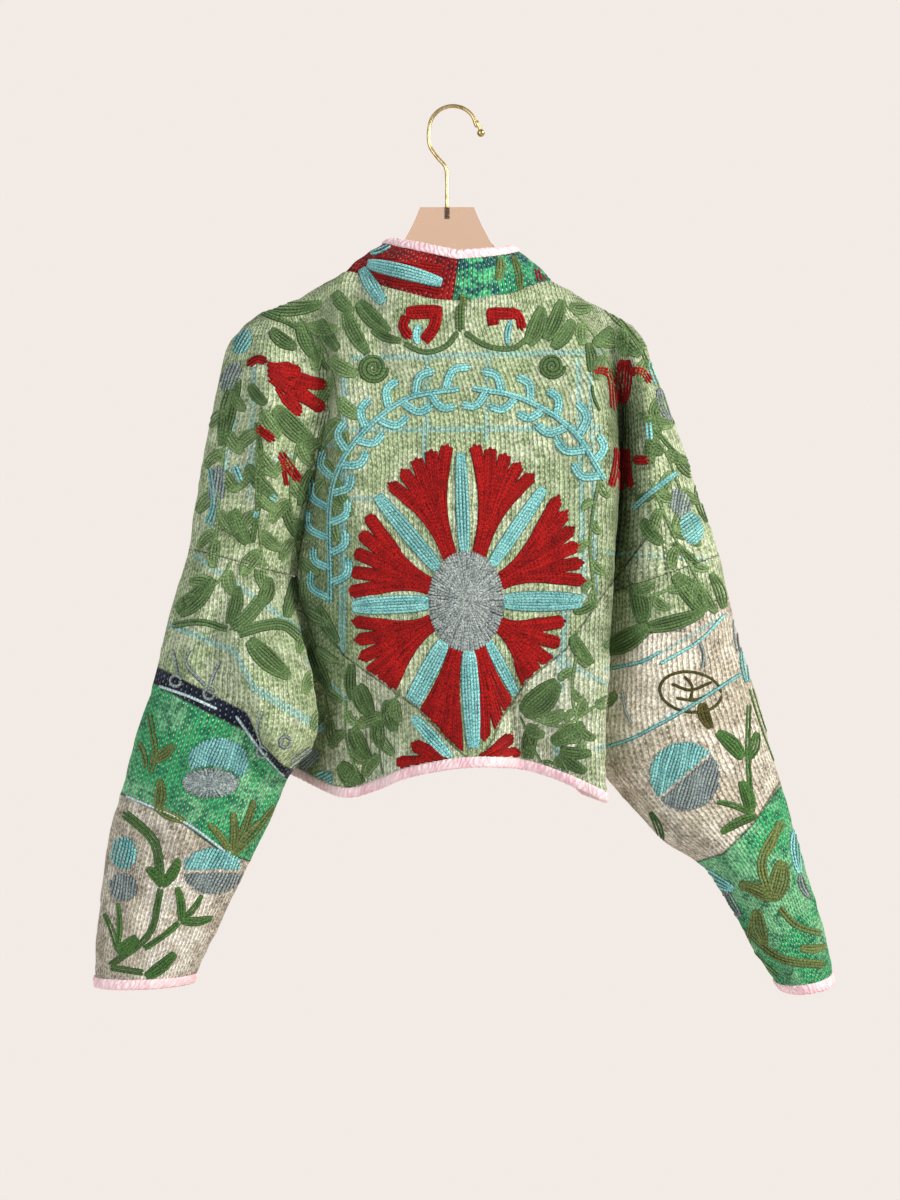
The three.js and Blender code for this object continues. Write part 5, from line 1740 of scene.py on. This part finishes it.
def threadMaterial(colour):
    material, tree, shader, where = newMaterial("chain stitch " + colour)
    light, dark = (linear(code) for code in threadColours[colour])
    speck = add(tree, "TexNoise", {"Vector": where, "Scale": 1 / (1.3 * mm)})
    flecks = add(tree, "MapRange", [speck, 0.5, 0.66], **softly)
    tone = add(tree, "Mix", {0: flecks, 6: light, 7: dark}, **tinted)
    faded = add(tree, "TexNoise", {"Vector": where, "Scale": 1 / (11 * mm), "Detail": 3.0})
    faded = add(tree, "MapRange", [faded, 0.45, 0.75, 0.0, 0.55], **softly)
    tone = add(tree, "Mix", {0: faded, 6: tone, 7: dark}, **tinted)
    place = add(tree, "SeparateXYZ", [add(tree, "UVMap", uv_map="chain")]).node.outputs
    side = add(tree, "Math", [place[1]], operation="ABSOLUTE")
    link = add(tree, "Math", [place[0], 2 * thread["step"]], operation="DIVIDE")
    link = add(tree, "Math", [link, add(tree, "Math", [side, 0.4], **times)], **plus)
    link = add(tree, "Math", [link], operation="FRACT")
    link = add(tree, "Math", [link, 0.5], **less)
    link = add(tree, "Math", [link], operation="ABSOLUTE")
    knot = add(tree, "MapRange", [link, 0.3, 0.5], **softly)
    edge = add(tree, "MapRange", [side, 0.35, 0.9], **softly)
    # Painted shade along the row's edges and between the links.
    low = add(tree, "Math", [knot, 0.3], **times)
    low = add(tree, "Math", [low, add(tree, "Math", [edge, 0.66], **times)], **plus)
    shade = add(tree, "Math", [1.0, low], use_clamp=True, **less)
    speckle = add(tree, "MapRange", [speck, 0.3, 0.7, 1.2, 0.8], **softly)
    shade = add(tree, "Math", [shade, speckle], **times)
    number = add(tree, "Math", [place[0], rowMark], operation="DIVIDE")
    number = add(tree, "Math", [number], operation="FLOOR")
    own = add(tree, "TexWhiteNoise", {"W": number}, noise_dimensions="1D", out="Value")
    own = add(tree, "MapRange", [own, 0.0, 1.0, 0.76, 1.16], **softly)
    shade = add(tree, "Math", [shade, own], **times)
    tint = add(tree, "CombineColor", [shade] * 3)
    tone = add(tree, "Mix", {0: 1.0, 6: tone, 7: tint}, blend_type="MULTIPLY", **tinted)
    height = add(tree, "Math", [speck, -0.5], **times)
    height = add(tree, "Math", [height, add(tree, "Math", [knot, 0.6], **times)], **less)
    finish(tree, shader, tone, height, 0.9, 0.0009)
    return material


# Fine pink cotton, with its weave and the painted soft shade of its gathers.
def bindingMaterial():
    material, tree, shader, where = newMaterial("pink cotton binding")
    mottle = add(tree, "TexNoise", {"Vector": where, "Scale": 1 / (14 * mm)})
    mottle = add(tree, "MapRange", [mottle, 0.35, 0.7], **softly)
    tone = add(tree, "Mix", {0: mottle, 6: linear("#f6d8dd"), 7: linear("#ecc0ca")}, **tinted)
    place = add(tree, "SeparateXYZ", [add(tree, "UVMap", uv_map="band")]).node.outputs
    slant = add(tree, "Math", [place[0], add(tree, "Math", [place[1], 0.35], **times)], **plus)
    uneven = add(tree, "TexNoise", {"Vector": where, "Scale": 1 / (11 * mm)})
    slant = add(tree, "Math", [slant, add(tree, "Math", [uneven, 14.0], **times)], **plus)
    gather = add(tree, "Math", [slant, 1.3], **times)
    gather = add(tree, "Math", [gather], operation="SINE")
    weave = add(tree, "TexNoise", {"Vector": where, "Scale": 1 / (0.7 * mm), "Detail": 1.0})
    # Painted shade in the folds of the gathers.
    shade = add(tree, "MapRange", [gather, -1.0, 0.2, 0.84, 1.0], **softly)
    tint = add(tree, "CombineColor", [shade] * 3)
    tone = add(tree, "Mix", {0: 1.0, 6: tone, 7: tint}, blend_type="MULTIPLY", **tinted)
    height = add(tree, "Math", [gather, 0.5], **times)
    height = add(tree, "Math", [height, add(tree, "Math", [weave, 0.25], **times)], **plus)
    finish(tree, shader, tone, height, 0.7, 0.001)
    return material


# Tinted clear acrylic with hairline scratches.
def acrylicMaterial():
    material, tree, shader, where = newMaterial("tinted clear acrylic")
    scuff = add(tree, "TexNoise", {"Vector": where, "Scale": 1 / (3 * mm), "Detail": 4.0})
    scuff = add(tree, "MapRange", [scuff, 0.45, 0.75, 0.02, 0.07], **softly)
    tree.links.new(scuff, shader.inputs["Roughness"])
    shader.inputs["Base Color"].default_value = linear("#ecccb4")
    shader.inputs["Transmission Weight"].default_value = 0.95
    shader.inputs["IOR"].default_value = 1.49
    return material


# Metal with a little wear in its polish.
def metalMaterial(name, light, dark, roughness):
    material, tree, shader, where = newMaterial(name)
    worn = add(tree, "TexNoise", {"Vector": where, "Scale": 1 / (6 * mm), "Detail": 4.0})
    worn = add(tree, "MapRange", [worn, 0.4, 0.7], **softly)
    tone = add(tree, "Mix", {0: worn, 6: linear(light), 7: linear(dark)}, **tinted)
    tree.links.new(tone, shader.inputs["Base Color"])
    rough = add(tree, "TexNoise", {"Vector": where, "Scale": 1 / (2 * mm), "Detail": 3.0})
    rough = add(tree, "MapRange", [rough, 0.3, 0.8, roughness, roughness + 0.15], **softly)
    tree.links.new(rough, shader.inputs["Roughness"])
    shader.inputs["Metallic"].default_value = 1.0
    return material


# A matt pale floor, a little uneven.
def floorMaterial():
    material, tree, shader, where = newMaterial("pale floor")
    uneven = add(tree, "TexNoise", {"Vector": where, "Scale": 1 / (400 * mm)})
    tone = add(tree, "Mix", {0: uneven, 6: linear("#f1e9e3"), 7: linear("#ebe2db")}, **tinted)
    tree.links.new(tone, shader.inputs["Base Color"])
    shader.inputs["Roughness"].default_value = 0.9
    return material


def dress(made, material):
    made.data.materials.clear()
    made.data.materials.append(material)


dress(
    backCloth,
    clothMaterial(
        "quilted back",
        "sage",
        (
            ("backLeft", "pale sage"),
            ("backRight", "pale sage"),
            # Painted shade: the green and shade zones darken the valleys beside the arms.
            ("green", "painted side shade"),
            ("shade", "painted fold shade"),
        ),
        0.6,
    ),
)
frontMaterial = clothMaterial("quilted front", "sage", (), 0.5)
for made in frontCloths.values():
    dress(made, frontMaterial)
dress(
    sleeveCloths[-1],
    clothMaterial(
        "patchwork of the left sleeve",
        "sage",
        (("emerald", "emerald"), ("navy", "navy"), ("taupe", "taupe"), ("cream", "cream")),
        0.6,
    ),
)
dress(
    sleeveCloths[1],
    clothMaterial(
        "patchwork of the right sleeve",
        "sage",
        (("rightTaupe", "taupe"), ("rightCream", "cream"), ("rightEmerald", "emerald")),
        0.6,
    ),
)
dress(collarCloths[-1], clothMaterial("scarlet collar", "scarlet"))
dress(collarCloths[1], clothMaterial("jade collar", "jade", teal=0.85))
threadMaterials = {colour: threadMaterial(colour) for colour in threadColours}
for made, colour in embroidery:
    dress(made, threadMaterials[colour])
pink = bindingMaterial()
for made in bindings.values():
    dress(made, pink)
brass = metalMaterial("polished brass", "#cdb98a", "#a58f58", 0.28)
dress(hookWire, brass)
dress(hookBall, brass)
acrylic = acrylicMaterial()
steel = metalMaterial("dark plated steel", "#57534f", "#383633", 0.3)
for node, material in (("hanger_plate", acrylic), ("hook_socket", steel)):
    plate = bpy.data.objects[node]
    for holder in plate.material_slots:
        holder.material = material
print("stage: materials made")


def declare(made, nodes=()):
    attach(made, "root")
    if nodes:
        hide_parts(*nodes)


backNodes = ("back_centre", "back_lower_left", "back_lower_right")
for made, slot, nodes, restsOn in [
    (backCloth, "quilted_sage", backNodes, ("hanger_plate",)),
    (frontCloths[-1], "quilted_sage", ("front_left",), ("hanger_plate",)),
    (frontCloths[1], "quilted_sage", ("front_right",), ("hanger_plate",)),
    (sleeveCloths[-1], "quilted_sage", ("sleeve_left",), ("back_cloth", "front_cloth_left")),
    (sleeveCloths[1], "quilted_taupe", ("sleeve_right",), ("back_cloth", "front_cloth_right")),
    (collarCloths[-1], "quilted_scarlet", ("collar_left",), ("back_cloth", "front_cloth_left")),
    (collarCloths[1], "quilted_green", ("collar_right",), ("back_cloth", "front_cloth_right")),
]:
    declare(made, nodes)
bandNodes = {
    "hem_band": "hem_binding",
    "collar_band": "collar_binding",
    "cuff_band_left": "cuff_binding_left",
    "cuff_band_right": "cuff_binding_right",
    "front_band_left": "front_binding_left",
    "front_band_right": "front_binding_right",
}
for name, made in bindings.items():
    declare(made, (bandNodes[name],))
for made, colour in embroidery:
    declare(made)
declare(hookWire, ("hanger_hook",))
declare(hookBall)


# A plain pale floor, lower than the picture reaches.
bpy.ops.mesh.primitive_plane_add(size=5, location=(0, 0, -1.95))
floor = bpy.context.object
floor.name = "floor"
dress(floor, floorMaterial())

# The backdrop is bright behind the jacket and dimmer all round, so that the key light, high on
# the right as in the photograph, shades the folds.
backdrop = {"colour": "#f6eee8", "bright": 0.97, "dim": 0.42}
world = bpy.data.worlds.new("studio")
bpy.context.scene.world = world
world.use_nodes = True
backdropTree = world.node_tree
backdropNode = backdropTree.nodes["Background"]
backdropNode.inputs["Color"].default_value = linear(backdrop["colour"])
aim = add(backdropTree, "SeparateXYZ", [add(backdropTree, "TexCoord", out="Generated")], out=1)
glow = add(
    backdropTree, "MapRange", [aim, 0.2, 0.85, backdrop["dim"], backdrop["bright"]], **softly
)
seen = add(backdropTree, "LightPath", out="Is Camera Ray")
seen = add(backdropTree, "Math", [seen, backdrop["bright"]], **times)
glow = add(backdropTree, "Math", [glow, seen], operation="MAXIMUM")
backdropTree.links.new(glow, backdropNode.inputs["Strength"])

lamps = {
    "key": {"place": (2.1, -1.3, 0.6), "size": 0.8, "power": 92, "tint": "#fffaf2"},
    "fill": {"place": (-1.4, -2.3, 0.1), "size": 1.4, "power": 40, "tint": "#f4fbff"},
    "behind": {"place": (0.5, 2.2, 0.6), "size": 2.0, "power": 22, "tint": "#ffffff"},
}
for name, lamp in lamps.items():
    data = bpy.data.lights.new(name, "AREA")
    data.size, data.energy, data.color = lamp["size"], lamp["power"], linear(lamp["tint"])[:3]
    made = bpy.data.objects.new(name, data)
    made.location = lamp["place"]
    made.rotation_euler = (Vector((0, 0, -0.5)) - made.location).to_track_quat("-Z", "Y").to_euler()
    made.visible_transmission = False
    bpy.context.scene.collection.objects.link(made)
bpy.context.scene.view_settings.view_transform = "Standard"

cameraData = bpy.data.cameras.new("camera")
cameraData.lens, cameraData.sensor_width = camera["lens"], 36
cameraData.clip_end = 20
eye = bpy.data.objects.new("camera", cameraData)
eye.location = Vector(camera["place"]) * mm
eye.rotation_euler = (math.radians(90), 0, 0)
bpy.context.scene.collection.objects.link(eye)
bpy.context.scene.camera = eye
print("stage: camera and lights set")
